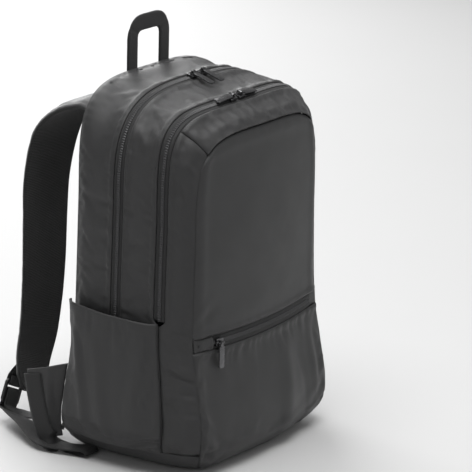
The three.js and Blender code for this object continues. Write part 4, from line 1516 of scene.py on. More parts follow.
        self.face(
            "front_upper_cloth",
            ("front_upper_panel",),
            [
                window_up,
                lambda u: self.rim(1.0)(mix(-corner, corner, u)),
                *self.sides(1.0, self.window_top, corner),
            ],
            front_depth,
            self.puff,
            Relief(
                swing=0.0013,
                swing_size=0.12,
                pucker=0.0004,
                pucker_pitch=0.022,
                turned=(False, False, True, False),
                seams=(0.0024, 0.0024, 0.0, 0.0032),
                folds=(
                    Fold((0.012, 0.02), (0.035, 0.034), 0.007, -0.0016),
                    Fold((0.006, 0.033), (0.03, 0.05), 0.007, 0.0011),
                    Fold((0.04, 0.012), (0.17, 0.035), 0.02, 0.0010),
                ),
                seed=17.5,
            ),
        )
        self.face(
            "front_lower_cloth",
            ("front_lower_panel",),
            [lambda u: self.rim(1.0)(under(u)), window_down, *self.sides(1.0, 1.0, self.window_low)],
            front_depth,
            self.puff,
            Relief(
                swing=0.0016,
                swing_size=0.09,
                pucker=0.0007,
                pucker_pitch=0.02,
                pucker_reach=0.014,
                turned=(False, False, False, True),
                seams=(0.0024, 0.0024, 0.0012, 0.0),
                folds=(
                    Fold((0.155, 0.03), (0.172, 0.13), 0.011, 0.0030),
                    Fold((0.185, 0.02), (0.20, 0.12), 0.012, -0.0018),
                    Fold((0.225, 0.06), (0.24, 0.145), 0.009, 0.0022),
                    Fold((0.03, 0.02), (0.062, 0.034), 0.006, 0.0032),
                    Fold((0.022, 0.026), (0.05, 0.048), 0.006, -0.0022),
                    Fold((0.05, 0.008), (0.09, 0.03), 0.008, 0.0018),
                    Fold((0.016, 0.075), (0.05, 0.03), 0.01, 0.0014),
                    Fold((0.11, 0.015), (0.17, 0.02), 0.01, 0.0012),
                ),
                seed=20.3,
            ),
        )
        self.face(
            "back_pad",
            ("back_panel",),
            [
                lambda u: self.rim(0.0)(under(u)),
                lambda u: self.rim(0.0)(mix(-corner, corner, u)),
                *self.sides(0.0, 1.0, corner),
            ],
            back_depth,
            self.back_puff,
            Relief(swing=0.0022, swing_size=0.13, pucker=0.0009, pucker_pitch=0.017, pucker_reach=0.02, seed=23.4),
            thickness=self.back_pad,
            cell=0.003,
            padded=0.5,
        )
        form = self.form

        def base_place(u: Array, v: Array) -> Array:
            """Place under the base."""
            u = np.clip(u, form.gap / 2 / form.width, 1 - form.gap / 2 / form.width)
            return form.shell(under(u), mix(self.half_gap, 1 - self.half_gap, v))

        self.panels["base_cloth"] = Panel(
            "base_cloth",
            ("base_panel",),
            base_place,
            0.35,
            0.16,
            Relief(swing=0.0003, pucker=0.0004, sewn=(True, True, True, True), seed=26.6),
            cell=0.0035,
        )

    def build_cloths(self) -> None:
        """Makes the shell's cloths."""
        for name, panel in self.panels.items():
            finish = self.wardrobe.base if name == "base_cloth" else self.wardrobe.nylon
            panel.build(finish)

    def build_zips(self) -> None:
        """Makes the tapes and coils of the three zips and the pocket zip's end tabs."""
        flat_tape = Relief(swing=0.0002, pucker=0.0, sewn=(False,) * 4)
        for name, at, end in (
            ("main_zip", self.main_at, self.main_end),
            ("front_zip", self.front_at, self.front_end),
        ):
            tape = self.band(
                f"{name}_weave",
                (f"{name}_tape",),
                (-end, end),
                self.level(at - self.half_tape),
                self.level(at + self.half_tape),
                flat_tape,
                thickness=self.form.lining,
            )
            tape.build(self.wardrobe.tape)
            self.panels.pop(f"{name}_weave")
            self.coil(f"{name}_teeth", (f"{name}_coil",), self.round_coil(at, end))
        for name, ends, node in (
            ("pocket_zip_weave", (-self.window_left, self.window_right), "pocket_zip_tape"),
            ("pocket_zip_tab_left", (-self.window_reach(), -self.window_tab), "pocket_zip_end_left"),
            (
                "pocket_zip_tab_right",
                (self.window_right + self.form.gap, self.window_reach()),
                "pocket_zip_end_right",
            ),
        ):
            finish = self.wardrobe.tape if node.endswith("tape") else self.wardrobe.nylon
            place = self.window_place(*ends)
            Panel(name, (node,), place, ends[1] - ends[0], self.tape, flat_tape, self.form.lining).build(finish)
        self.coil("pocket_zip_teeth", ("pocket_zip_coil",), self.window_coil())

    def window_reach(self) -> float:
        """How far the pocket zip's end tabs reach sideways."""
        along = np.array([(self.window_top + self.window_low) / 2])
        return float(self.form.inset(along, np.array([1.0]), self.form.wall)[0][0]) - self.form.gap

    def window_place(self, start: float, end: float) -> Place:
        """Places on the pocket zip's tape, and on its left end tab, which arches over the first teeth."""

        def place(u: Array, v: Array) -> Array:
            """Place for shares along and across the tape."""
            x = mix(start, end, u)
            z = mix(self.window_line(-1, x) + self.form.gap / 2, self.window_line(1, x) - self.form.gap / 2, v)
            over = np.clip((x + self.window_left) / self.tab_climb, 0, 1) if end == -self.window_tab else 0.0
            arch = mix(self.tab_foot, 1.0, np.sin(np.pi * v) ** 0.7)
            return stack(x, self.form.front_face(x, z) - self.tab_lift * over * arch, z)

        return place

    def round_coil(self, at: float, end: float) -> tuple[Callable[[Array, Array, Array], Array], float]:
        """Places over a zip round the bag, and its length."""
        form = self.form
        alongs = np.linspace(-end, end, 1200)
        gone = np.concatenate(
            [[0], np.linalg.norm(np.diff(form.shell(alongs, np.full(1200, at)), axis=0), axis=1).cumsum()]
        )

        def place(u: Array, across: Array, height: Array) -> Array:
            """Place at a distance beside the coil's middle and over the cloth."""
            return form.over(np.interp(u * gone[-1], gone, alongs), at + across / form.depth, height)

        return place, float(gone[-1])

    def window_coil(self) -> tuple[Callable[[Array, Array, Array], Array], float]:
        """Places over the pocket zip, and its length."""
        inner = self.coil_inset

        def place(u: Array, across: Array, height: Array) -> Array:
            """Place at a distance beside the coil's middle and in front of the panel."""
            x = mix(inner - self.window_left, self.window_right - inner, u)
            z = self.window_line(0, x) + across
            return stack(x, self.form.front_face(x, z) - height, z)

        return place, self.window_left + self.window_right - 2 * inner

    def coil(
        self, name: str, nodes: tuple[str, ...], way: tuple[Callable[[Array, Array, Array], Array], float]
    ) -> None:
        """Makes one zip's coil: filament loops that slant away from the middle on both sides."""
        place, length = way
        turns = round(length / self.coil_pitch)
        across = (-1.0, -0.92, -0.6, -0.3, 0.0, 0.3, 0.6, 0.92, 1.0)
        crown = (0.0, 0.5, 0.72, 0.86, 1.0, 0.86, 0.72, 0.5, 0.0)
        made = bmesh.new()
        bmesh.ops.create_grid(made, x_segments=6 * turns, y_segments=len(across) - 1, size=0.5)
        flat = np.array([vertex.co[:2] for vertex in made.verts]) + 0.5
        u, row = np.clip(flat[:, 0], 0, 1), np.rint(flat[:, 1] * (len(across) - 1)).astype(int)
        column = np.array(across)[row]
        ridge = 0.5 + 0.5 * np.cos(2 * np.pi * (u * turns + self.coil_slant * np.abs(column)))
        height = self.form.gap + self.coil_height * np.array(crown)[row] * mix(self.coil_valley, 1.0, ridge)
        for vertex, spot in zip(made.verts, place(u, column * self.coil_width / 2, height)):
            vertex.co = spot
        rim = [edge for edge in made.edges if edge.is_boundary]
        bmesh.ops.holes_fill(made, edges=rim)
        bmesh.ops.triangulate(made, faces=[face for face in made.faces if len(face.verts) > 4])
        bmesh.ops.recalc_face_normals(made, faces=made.faces[:])
        thing = finish_mesh(name, made, self.wardrobe.coil)
        chart(thing, u * length, column * self.coil_width / 2)
        attach(thing, Carrier.BAG, nodes)

    def sew(self) -> None:
        """Adds the stitch rows beside the zips."""
        sewing = Sewing("zip_stitches")
        run = np.linspace(0.004, 0.996, 700)
        for name, edges in (
            ("rear_gusset_cloth", (1,)),
            ("middle_gusset_cloth", (0, 1)),
            ("top_band_cloth", (0,)),
            ("side_strip_cloth_left", (0,)),
            ("side_strip_cloth_right", (0,)),
            ("front_upper_cloth", (0,)),
            ("front_lower_cloth", (1,)),
        ):
            panel = self.panels[name]
            for edge in edges:
                v = abs(edge - STITCH_ROW / panel.width)
                sewing.on_panel(panel, run, np.full(run.size, v))
        pad = self.panels["back_pad"]
        share = np.linspace(0, 1, 60)
        (x_in, z_in), (x_out, z_out) = self.corner_rows
        for side in Side:
            for shift in (0.0, self.corner_gap):
                x = side.value * mix(x_in, x_out, share)
                sewing.on_panel(pad, *self.locate(pad, x, mix(z_in, z_out, share) - shift))
        sewing.build(self.wardrobe.thread)

    def locate(self, panel: Panel, x: Array, z: Array) -> tuple[Array, Array]:
        """Shares of an upright cloth for places seen from the front."""
        u, v = 0.5 + x / self.form.width, z / self.form.height
        for _ in range(12):
            spot = panel.place(u, v)
            u = np.clip(u + (x - spot[:, 0]) / self.form.width, 0, 1)
            v = np.clip(v + (z - spot[:, 2]) / self.form.height, 0, 1)
        return u, v


@dataclass
class SidePocket:
    """An open pocket on one side: a bulging cloth with a hemmed lip."""

    side: Side
    wardrobe: Wardrobe
    body: Body
    rise: float = 0.181
    lip: float = 0.008
    bulge: float = 0.011
    flare: float = 0.006
    rear: float = 0.02
    hem_row: float = 0.0085

    def lip_height(self, share: Array) -> Array:
        """Height of the lip, which rises towards the back."""
        return self.rise + self.lip * np.clip(1 - share, 0, 1) ** 1.5

    def place(self, share: Array, down: Array) -> Array:
        """Outer face for a share from the rear seam and a share from the lip to the base seam."""
        form = FORM
        down = 2 * down
        across = mix(self.rear, self.body.front_at - self.body.half_gap, share)
        lip = form.along_at(self.lip_height(share), across)
        along = np.where(down < 1, mix(lip, form.down_side, down), mix(form.down_side, 1, down - 1))
        away = self.bulge * swell(share, 0.4) * (1 - (down / 2) ** 3) ** 0.5
        flare = self.flare * (1 - share) ** 2 * np.maximum(0, 1 - down) ** 2
        along = np.minimum(along, 1 - 2 * form.gap / form.height)
        return form.over(along, across, 2 * form.gap + away + flare + form.wall)

    def design(self) -> Panel:
        """Lays out the pocket's cloth."""
        relief = Relief(
            swing=0.0013,
            swing_size=0.07,
            pucker=0.0006,
            pucker_pitch=0.017,
            pucker_reach=0.013,
            sewn=(True, True, False, True),
            folds=(
                Fold((0.014, 0.015), (0.05, 0.125), 0.006, 0.0024),
                Fold((0.026, 0.03), (0.068, 0.12), 0.0065, -0.0016),
                Fold((0.045, 0.02), (0.075, 0.11), 0.008, 0.0013),
                Fold((0.10, 0.12), (0.135, 0.07), 0.012, 0.0014),
                Fold((0.0, self.hem_row), (0.16, self.hem_row), 0.0009, -0.0005),
            ),
            seed=31.4 + self.side.value,
        )
        place = self.place if self.side is Side.RIGHT else mirrored(self.place)
        self.panel = Panel(
            f"side_pocket_cloth_{self.side.tag}",
            (f"side_pocket_{self.side.tag}",),
            place,
            0.142,
            0.17,
            relief,
            cell=0.0018,
        )
        return self.panel

    def build(self, sewing: Sewing) -> None:
        """Makes the cloth and its hem stitches."""
        self.panel.build(self.wardrobe.nylon)
        run = np.linspace(0.02, 0.98, 260)
        sewing.on_panel(self.panel, run, np.full(run.size, self.hem_row / self.panel.width))


@dataclass
class Inside:
    """The divider and the laptop sleeve."""

    wardrobe: Wardrobe
    body: Body
    inset: float = 0.0033
    sleeve_rise: float = 0.3
    sleeve_foot: float = 0.024
    sleeve_width: float = 0.236
    sleeve_depth: float = 0.022
    sleeve_play: float = 0.0008

    def build(self) -> None:
        """Makes both linings."""
        body, form = self.body, FORM
        corner = form.top_corner
        rim = body.rim(body.divider_at, self.inset)
        spot = body.patch(
            [
                lambda u: rim(form.under_along(u)),
                lambda u: rim(mix(-corner, corner, u)),
                *body.sides(body.divider_at, 1.0, corner, self.inset),
            ]
        )

        def divider(u: Array, v: Array) -> Array:
            """Place on the divider."""
            flat = spot(u, v)
            depth = mix(form.back_face(flat[:, 1]), form.front_face(flat[:, 0], flat[:, 1]), body.divider_at)
            return stack(flat[:, 0], depth - form.lining / 2, flat[:, 1])

        def sleeve(u: Array, v: Array) -> Array:
            """Place on the sleeve."""
            column, z = 2 * u - 1, mix(self.sleeve_foot, self.sleeve_rise, v)
            lean = np.sin(np.pi * (0.5 + 0.5 * (z - self.sleeve_foot) / (2.4 * self.sleeve_rise)))
            out = self.sleeve_depth * np.clip(1 - column**6, 0, 1) ** 0.5 * lean
            depth = form.back_face(z) - body.back_pad - self.sleeve_play - out - form.lining
            return stack(column * self.sleeve_width / 2, depth, z)

        loose = Relief(swing=0.0012, swing_size=0.06, pucker=0.0, sewn=(False,) * 4, seed=41.0)
        front = (0.0, 1.0, 0.2)
        for name, node, place, length, width, cell in (
            ("divider_cloth", "divider_panel", divider, 0.29, 0.41, 0.005),
            ("sleeve_cloth", "laptop_sleeve", sleeve, 0.25, 0.276, 0.004),
        ):
            cloth = Panel(name, (node,), place, length, width, loose, form.lining, cell, middle=front)
            cloth.build(self.wardrobe.lining)


# Straps


STRAP = {
    "out": (1, 1, 1, 1, 1, 0.98, 0.92, 0.85, 0.84, 0.93, 1.13, 1.3, 1.42),
    "back": (0.075, 0.24, 0.46, 0.64, 0.76, 0.88, 0.925, 0.965, 0.99, 0.995, 0.975, 0.93, 0.89),
    "high": (0.912, 0.924, 0.905, 0.868, 0.815, 0.69, 0.565, 0.43, 0.33, 0.24, 0.175, 0.118, 0.084),
    "turn": (0, 0, 3, 8, 12, 10, 7, 6, 5, 4, 2, 0, 0),
    "wide": (1, 1, 1, 1, 1, 1, 1, 1, 0.98, 0.93, 0.84, 0.72, 0.4),
}


@dataclass
class Strap:
    """One shoulder strap: padded shell, mesh face, end patch, buckle webbing and tab."""

    side: Side
    wardrobe: Wardrobe
    width: float = 0.073
    pad: float = 0.008
    mesh: float = 0.003
    seam: float = 0.00045
    reach: float = 0.117
    spread: float = 0.062
    row_gap: float = 0.005
    webbing_width: float = 0.025
    webbing_wall: float = 0.0016
    buckle_wall: float = 0.0034
    buckle_length: float = 0.028
    buckle_bar: float = 0.0036
    tab_wall: float = 0.0024

    def __post_init__(self) -> None:
        """Lays the strap's line and the buckle's directions."""
        rows = list(zip(STRAP["out"], STRAP["back"], STRAP["high"]))
        points = [(o * self.spread, FORM.back_set + b * self.reach, h * FORM.height) for o, b, h in rows]
        widths = [(math.cos(math.radians(t)), math.sin(math.radians(t)), 0.0) for t in STRAP["turn"]]
        self.ribbon = Ribbon(points, widths)
        self.spot = np.array([0.099, 0.203, 0.034])
        self.down = unit(np.array([0.42, 0.0, -0.9]))
        self.out = np.array([0.0, 1.0, 0.0])
        self.sideways = unit(np.cross(self.down, self.out))

    def half_width(self, t: Array) -> Array:
        """Half the strap's width."""
        shares = np.linspace(0, 1, len(STRAP["wide"]))
        return np.interp(t, shares, STRAP["wide"]) * self.width / 2

    def crinkles(self, t: Array, column: Array) -> Array:
        """Relief of the shell: ripples across the strap, held down along the seams."""
        run, off = t * 0.5, column * self.width / 2
        ripple = clouds(run, off * 0.16, 0.0085, 51.0 + self.side.value)
        broad = clouds(run, off * 0.3, 0.03, 53.0 + self.side.value)
        high = 0.35 + 0.65 * np.clip(1.5 - 2.2 * t, 0, 1)
        rows = np.exp(-(((np.abs(off) - self.row_gap) / 0.002) ** 2))
        rim = np.exp(-(((np.abs(off) - self.width / 2 + 0.005) / 0.0018) ** 2))
        held = 1 - 0.8 * np.maximum(rows, rim)
        return (0.0011 * ripple * high + 0.0009 * broad) * held - 0.0013 * rows - 0.0011 * rim

    def design(self) -> list[Strip]:
        """Lays out the shell and the mesh face."""

        def round_edge(column: Array) -> Array:
            """Falls from 1 to 0 at the strap's edges."""
            return np.clip(1 - np.abs(column) ** 14, 0, 1) ** 0.5

        def shell_high(t: Array, column: Array) -> Array:
            """Outer face of the padded shell."""
            full = self.pad * (1 - 0.5 * np.abs(column) ** 4) + self.crinkles(t, column)
            return self.seam + (full - self.seam) * round_edge(column)

        def shell_low(t: Array, column: Array) -> Array:
            """Inner face of the padded shell."""
            return self.seam * (1 - 0.5 * np.abs(column) ** 4)

        def mesh_low(t: Array, column: Array) -> Array:
            """Face of the mesh."""
            waves = 0.0005 * clouds(t * 0.5, column * 0.02, 0.02, 57.0)
            bead = 0.0008 * np.exp(-(((1 - np.abs(column)) * self.width / 2 - 0.003) ** 2) / 0.0012**2)
            full = self.mesh * (1 - 0.5 * np.abs(column) ** 4) + waves + bead
            return -self.seam - (full - self.seam) * round_edge(column)

        tag = self.side.tag
        self.shell = Strip(
            f"strap_shell_{tag}", (f"shoulder_strap_{tag}",), self.ribbon, shell_high, shell_low, self.half_width,
            36, 0.0022, self.side, 0.7,
        )
        self.face = Strip(
            f"strap_mesh_face_{tag}", (f"strap_mesh_{tag}",), self.ribbon,
            lambda t, column: -shell_low(t, column), mesh_low, self.half_width, 30, 0.003, self.side, 0.5,
        )
        return [self.shell, self.face]

    def near(self, down: float, out: float) -> Array:
        """Point near the buckle: a distance down along it and a distance out of its plane."""
        return self.spot + self.down * down + self.out * out

    def webbing(self, name: str, node: str, points: Sequence[Array], widths: Sequence[Array]) -> Strip:
        """A webbing of even width and thickness."""
        half = self.webbing_wall / 2

        def high(t: Array, column: Array) -> Array:
            """Upper face, thinner at the woven edges."""
            return half * (1 - 0.45 * np.abs(column) ** 10)

        return Strip(
            f"{name}_{self.side.tag}",
            (f"{node}_{self.side.tag}",),
            Ribbon(points, widths),
            high,
            lambda t, column: -high(t, column),
            lambda t: np.full(np.shape(t), self.webbing_width / 2),
            8,
            0.0016,
            self.side,
        )

    def end_patch(self) -> Strip:
        """The webbing sewn on the strap's end, round the buckle's upper bar."""
        gap, wall = FORM.gap, self.webbing_wall
        face = self.buckle_wall / 2 + gap + wall / 2 + 0.0002
        lift = self.pad + 3 * gap + wall / 2
        bar = -self.buckle_length / 2 + self.buckle_bar
        shares = (0.79, 0.83, 0.865)
        middle, _, normal = self.ribbon.frame(np.array(shares))
        points = [*(middle + normal * lift)]
        wrap, bulge = 0.0019, 0.0027
        points += [
            self.near(-0.025, 0),
            self.near(-0.018, face),
            self.near(bar + 0.0004, face),
            self.near(bar + wrap, wrap),
            self.near(bar + bulge, 0),
            self.near(bar + wrap, -wrap),
            self.near(bar + 0.0004, -face),
            self.near(-0.019, -face),
        ]
        widths = [self.sideways - n * float(n @ self.sideways) for n in normal]
        widths += [self.sideways] * 8
        return self.webbing("strap_patch_weave", "strap_patch", points, widths)

    def tab_outer(self) -> float:
        """Where the tab leaves the side seam."""
        along = FORM.along_at(np.array([0.106]), np.array([0.0]))
        return float(FORM.outline(along, np.array([0.0]))[0][0])

    def lower_webbing(self) -> Strip:
        """The webbing from the tab down to the floor, up round the buckle and away as a free tail."""
        face = self.buckle_wall / 2 + FORM.gap + self.webbing_wall / 2 + 0.0002
        strip = self.tab_outer() + 0.011 + self.tab_wall / 2 + FORM.gap + self.webbing_wall / 2
        flat = (1.0, 0.0, 0.0)
        end, bar = self.buckle_length / 2, -self.buckle_bar / 2
        wrap, bulge = 0.0019, 0.0027
        rows = [
            ((strip, 0.129, 0.088), (0, 1, -0.25)),
            ((strip, 0.122, 0.055), (0, 1, -0.25)),
            ((strip, 0.113, 0.026), (0, 1, -0.35)),
            ((strip, 0.106, 0.015), (0, 1, -0.5)),
            ((strip - 0.001, 0.0995, 0.01), (0.75, 0.55, 0)),
            ((0.146, 0.093, 0.0055), (0.96, -0.2, 0)),
            ((0.142, 0.078, 0.002), flat),
            ((0.142, 0.058, 0.0016), flat),
            ((0.142, 0.049, 0.0046), flat),
            ((0.143, 0.056, 0.0078), flat),
            ((0.149, 0.08, 0.0066), flat),
            ((0.154, 0.112, 0.008), (1, 0.05, 0)),
            ((0.136, 0.152, 0.016), (0.9, 0.35, 0.15)),
            ((0.117, 0.19, 0.016), (0.9, 0.1, 0.4)),
            (self.near(end + 0.005, face + 0.0006), self.sideways),
            (self.near(end, face), self.sideways),
            (self.near(bar - 0.0004, face), self.sideways),
            (self.near(bar - wrap, wrap), self.sideways),
            (self.near(bar - bulge, 0), self.sideways),
            (self.near(bar - wrap, -wrap), self.sideways),
            (self.near(bar - 0.0004, -face), self.sideways),
            (self.near(end, -face), self.sideways),
            (self.near(end + 0.004, -face - 0.0008), self.sideways),
            ((0.102, 0.185, 0.011), (0.95, 0.1, 0.1)),
            ((0.097, 0.168, 0.011), flat),
            ((0.094, 0.15, 0.016), flat),
        ]
        return self.webbing("strap_webbing_weave", "strap_webbing", [p for p, _ in rows], [w for _, w in rows])

    def tab(self) -> Panel:
        """The cloth that the lower webbing is sewn on."""
        outer = self.tab_outer()

        def place(u: Array, v: Array) -> Array:
            """Outer face for shares outwards and upwards."""
            z = mix(mix(0.016, 0.106, v), mix(0.012, 0.091, v), u)
            start = FORM.back_face(z) + 0.002 + FORM.gap
            y = mix(start, mix(0.118, 0.138, v), u)
            return stack(outer + 0.011 * np.minimum(1, u * 2.5) + self.tab_wall / 2, y, z)

        relief = Relief(
            swing=0.0005,
            swing_size=0.04,
            pucker=0.0003,
            sewn=(True, False, True, True),
            folds=(
                Fold((0.008, 0.03), (0.014, 0.08), 0.004, -0.0008),
                Fold((0.018, 0.01), (0.03, 0.07), 0.006, 0.0005),
            ),
            seed=61.0,
        )
        right = self.side is Side.RIGHT
        return Panel(
            f"strap_tab_cloth_{self.side.tag}",
            (f"strap_tab_{self.side.tag}",),
            place if right else mirrored(place),
            0.048,
            0.085,
            relief,
            self.tab_wall,
            0.002,
            middle=(0.0, 0.1, 0.05),
        )

    def build(self, sewing: Sewing) -> None:
        """Makes the strap's pieces and adds its stitch rows."""
        shell, face = self.design()
        shell.build(self.wardrobe.nylon)
        face.build(self.wardrobe.mesh)
        patch, lower = self.end_patch(), self.lower_webbing()
        patch.build(self.wardrobe.webbing)
        lower.build(self.wardrobe.webbing)
        self.tab().build(self.wardrobe.nylon)
        run = np.linspace(0.012, 0.93, 420)
        flip = np.array([self.side.value, 1, 1])
        upper = shell.faces(True)
        for offset in (-self.row_gap, self.row_gap, 0.0315, -0.0315):
            v = np.full(run.size, 0.5 + offset / self.width)
            t = self.ribbon.line.evenly(run)
            sewing.row(upper(run, v), self.ribbon.frame(t)[2] * flip)
        self.box(sewing, patch, 0.02, 0.26)
        self.box(sewing, lower, 0.006, 0.11)

    def box(self, sewing: Sewing, strip: Strip, start: float, end: float) -> None:
        """Adds a stitched box with a cross on one end of a webbing."""
        flip = np.array([self.side.value, 1, 1])
        corners = ((start, 0.12), (end, 0.12), (end, 0.88), (start, 0.88), (start, 0.12), (end, 0.88))
        for (a, b), (c, d) in zip(corners, corners[1:]):
            u, v = np.linspace(a, c, 40), np.linspace(b, d, 40)
            t = strip.ribbon.line.evenly(u)
            sewing.row(strip.faces(True)(u, v), strip.ribbon.frame(t)[2] * flip)


@dataclass
class Handle:
    """The haul handle: one webbing loop with folded corners."""

    wardrobe: Wardrobe
    width: float = 0.019
    wall: float = 0.0026
    rise: float = 0.05
    spread: float = 0.031
    tail: float = 0.012

    def build(self, sewing: Sewing) -> None:
        """Makes the loop and its stitches."""
        depth = FORM.back_set + FORM.gap + self.wall / 2 + 0.001
        seam = FORM.height * float(GIRTH.at("rise", 0.0))
        half = [
            (self.spread, seam - self.tail, (1, 0)),
            (self.spread, seam, (1, 0)),
            (self.spread, seam + self.rise * 0.5, (1, 0)),
            (self.spread - 0.001, seam + self.rise * 0.8, (0.92, 0.38)),
            (self.spread - 0.009, seam + self.rise, (0.38, 0.92)),
            (0.0, seam + self.rise + 0.002, (0, 1)),
        ]
        left = [(-x, z, (w[0], -w[1])) for x, z, w in half]
        right = [(x, z, (-w[0], -w[1])) for x, z, w in half[:-1]]
        rows = left + right[::-1]

        def high(t: Array, column: Array) -> Array:
            """Outer face of the doubled webbing."""
            fold = 0.0005 * (np.exp(-(((t - 0.33) / 0.012) ** 2)) + np.exp(-(((t - 0.67) / 0.012) ** 2)))
            return self.wall / 2 * (1 - 0.4 * np.abs(column) ** 8) - fold

        strip = Strip(
            "haul_handle_weave",
            ("haul_handle",),
            Ribbon([(x, depth, z) for x, z, _ in rows], [(w[0], 0.0, w[1]) for _, _, w in rows]),
            high,
            lambda t, column: -high(t, column),
            lambda t: np.full(np.shape(t), self.width / 2),
            10,
            0.0016,
        )
        strip.build(self.wardrobe.webbing)
        for column in (0.12, 0.88):
            run = np.linspace(0.02, 0.98, 160)
            t = strip.ribbon.line.evenly(run)
            for high_face in (True, False):
                normals = strip.ribbon.frame(t)[2] * (1 if high_face else -1)
                sewing.row(strip.faces(high_face)(run, np.full(160, column)), normals)


@dataclass(frozen=True)
class Hardware:
    """Hard pieces: the solids' own shapes with eased edges."""

    ease: float = 0.00035
    sharp: float = math.radians(28)

    def dress(self, node: str, name: str, finish: Slotted, carrier: Carrier, ease: float = 0.0) -> bpy.types.Object:
        """Makes an eased copy of one solid that takes its place.

        Args:
            node: the solid.
            name: the new piece's name.
            finish: its material and slot.
            carrier: the body that it rides on.
            ease: width of the eased edges.
        Returns:
            The piece.
        """
        made = bmesh.new()
        made.from_mesh(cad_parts[node].data)
        bmesh.ops.remove_doubles(made, verts=made.verts[:], dist=1e-6)
        bmesh.ops.dissolve_limit(
            made, angle_limit=math.radians(1), verts=made.verts[:], edges=made.edges[:], delimit={"NORMAL"}
        )
        edges = [edge for edge in made.edges if len(edge.link_faces) == 2 and edge.calc_face_angle() > self.sharp]
        bmesh.ops.bevel(
            made,
            geom=edges,
            offset=ease or self.ease,
            offset_type="OFFSET",
            segments=2,
            profile=0.5,
            affect="EDGES",
            clamp_overlap=True,
            material=-1,
        )
        thing = finish_mesh(name, made, finish)
        thing.data.set_sharp_from_angle(angle=self.sharp)
        attach(thing, carrier, (node,))
        return thing


# Studio


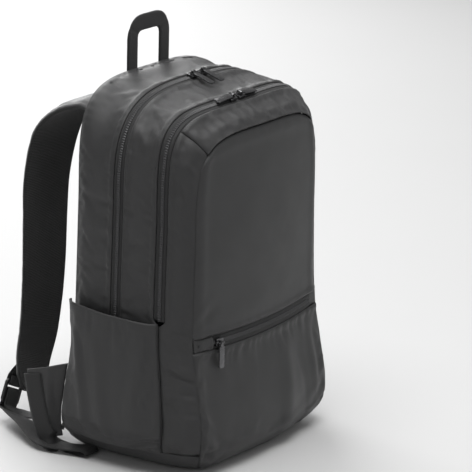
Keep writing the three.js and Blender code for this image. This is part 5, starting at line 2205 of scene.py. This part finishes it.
@dataclass
class Studio:
    """Pale floor, soft lights and the camera."""

    target: tuple[float, float, float] = (0.0, 0.0, 0.2)
    azimuth: float = -55.08
    elevation: float = 17.16
    roll: float = 1.39
    distance: float = 3.597
    scale: float = 850.0
    middle: tuple[float, float] = (200.04, 272.13)
    frame_size: int = 472

    def directions(self) -> tuple[Vector, Vector, Vector]:
        """Right, up and back directions of the level camera."""
        a, e = math.radians(self.azimuth), math.radians(self.elevation)
        back = Vector((math.sin(a) * math.cos(e), -math.cos(a) * math.cos(e), math.sin(e)))
        right = Vector((math.cos(a), math.sin(a), 0))
        return right, back.cross(right), back

    def camera(self) -> None:
        """Places the camera at the photograph's angle."""
        right, up, back = self.directions()
        r = math.radians(self.roll)
        across = self.frame_size / 2 - self.middle[0]
        rise = self.middle[1] - self.frame_size / 2
        x = (across * math.cos(r) - rise * math.sin(r)) / self.scale
        y = (across * math.sin(r) + rise * math.cos(r)) / self.scale
        place = Vector(self.target) + back * self.distance
        aim = Vector(self.target) + right * x + up * y
        data = bpy.data.cameras.new("studio_camera")
        data.sensor_width = 36
        data.lens = self.scale * self.distance / self.frame_size * 36
        data.clip_start, data.clip_end = 0.1, 50
        camera = bpy.data.objects.new("studio_camera", data)
        bpy.context.scene.collection.objects.link(camera)
        look = (place - aim).to_track_quat("Z", "Y").to_matrix().to_4x4()
        camera.matrix_world = Matrix.Translation(place) @ look @ Matrix.Rotation(r, 4, "Z")
        bpy.context.scene.camera = camera

    def light(self, name: str, place: tuple[float, float, float], size: float, power: float) -> None:
        """Adds one soft area light that faces the bag."""
        data = bpy.data.lights.new(name, "AREA")
        data.size = size
        data.energy = power
        lamp = bpy.data.objects.new(name, data)
        bpy.context.scene.collection.objects.link(lamp)
        aim = Vector((0, 0, 0.22)) - Vector(place)
        lamp.matrix_world = Matrix.Translation(place) @ aim.to_track_quat("-Z", "Y").to_matrix().to_4x4()

    def build(self) -> None:
        """Makes the floor, the lights and the world."""
        floor = bmesh.new()
        bmesh.ops.create_grid(floor, x_segments=1, y_segments=1, size=6)
        mesh = bpy.data.meshes.new("studio_floor")
        floor.to_mesh(mesh)
        floor.free()
        thing = bpy.data.objects.new("studio_floor", mesh)
        bpy.context.scene.collection.objects.link(thing)
        graph = Graph("pale_floor")
        grain = graph.cloud(3, 2)
        graph.finish(
            {"Roughness": 0.7, "Specular IOR Level": 0.2},
            {"Base Color": graph.tinted((0.6, 0.6, 0.6), 0.98 + grain * 0.02)},
            grain,
            0.0001,
        )
        mesh.materials.append(graph.material)
        thing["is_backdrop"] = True
        self.light("top_softbox", (-0.2, -0.1, 2.3), 1.8, 55)
        self.light("rear_softbox", (1.5, 2.3, 1.5), 2.0, 75)
        self.light("front_softbox", (0.9, -2.6, 1.3), 1.6, 7)
        self.light("side_softbox", (-2.6, -0.4, 1.1), 1.6, 4)
        world = bpy.data.worlds.new("studio_world")
        world.use_nodes = True
        world.node_tree.nodes["Background"].inputs[0].default_value = (1, 1, 1, 1)
        world.node_tree.nodes["Background"].inputs[1].default_value = 0.25
        bpy.context.scene.world = world
        bpy.context.scene.view_settings.view_transform = "Standard"
        self.camera()


def corners() -> list[float]:
    """Lowest and highest corner of everything shown, as six numbers."""
    low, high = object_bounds()
    return [*low, *high]


def main() -> None:
    logging.basicConfig(level=logging.INFO, format="%(message)s")
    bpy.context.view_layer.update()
    wardrobe = Wardrobe()
    settling = Settling()
    body = Body(wardrobe)
    body.design()
    pockets = [SidePocket(side, wardrobe, body) for side in Side]
    for pocket in pockets:
        pocket.design()
    for name, slack, cap in (
        ("rear_gusset_cloth", 0.02, 0.0022),
        ("middle_gusset_cloth", 0.02, 0.0022),
        ("top_band_cloth", 0.025, 0.0022),
        ("side_strip_cloth_left", 0.02, 0.0018),
        ("side_strip_cloth_right", 0.02, 0.0018),
        ("front_lower_cloth", 0.02, 0.0036),
        ("back_pad", 0.02, 0.0036),
    ):
        settling.add(body.panels[name], slack, cap)
    for pocket in pockets:
        settling.add(pocket.panel, 0.02, 0.0022)
    settling.run()
    body.build_cloths()
    body.build_zips()
    body.sew()
    Inside(wardrobe, body).build()
    sewing = Sewing("strap_and_pocket_stitches")
    for pocket in pockets:
        pocket.build(sewing)
    for side in Side:
        Strap(side, wardrobe).build(sewing)
    Handle(wardrobe).build(sewing)
    sewing.build(wardrobe.thread)
    hardware = Hardware()
    pulls = {
        "main_left": Carrier.MAIN_LEFT,
        "main_right": Carrier.MAIN_RIGHT,
        "front_left": Carrier.FRONT_LEFT,
        "front_right": Carrier.FRONT_RIGHT,
        "pocket": Carrier.POCKET,
    }
    for name, carrier in pulls.items():
        hardware.dress(f"{name}_slider", f"{name}_slider_cast", wardrobe.metal, Carrier.BAG, 0.0003)
        hardware.dress(f"{name}_pull", f"{name}_pull_plate", wardrobe.metal, carrier, 0.0003)
    for side in Side:
        hardware.dress(
            f"strap_buckle_{side.tag}", f"strap_buckle_moulded_{side.tag}", wardrobe.plastic, Carrier.BAG, 0.0005
        )
    Studio().build()


if __name__ == "__main__":
    main()
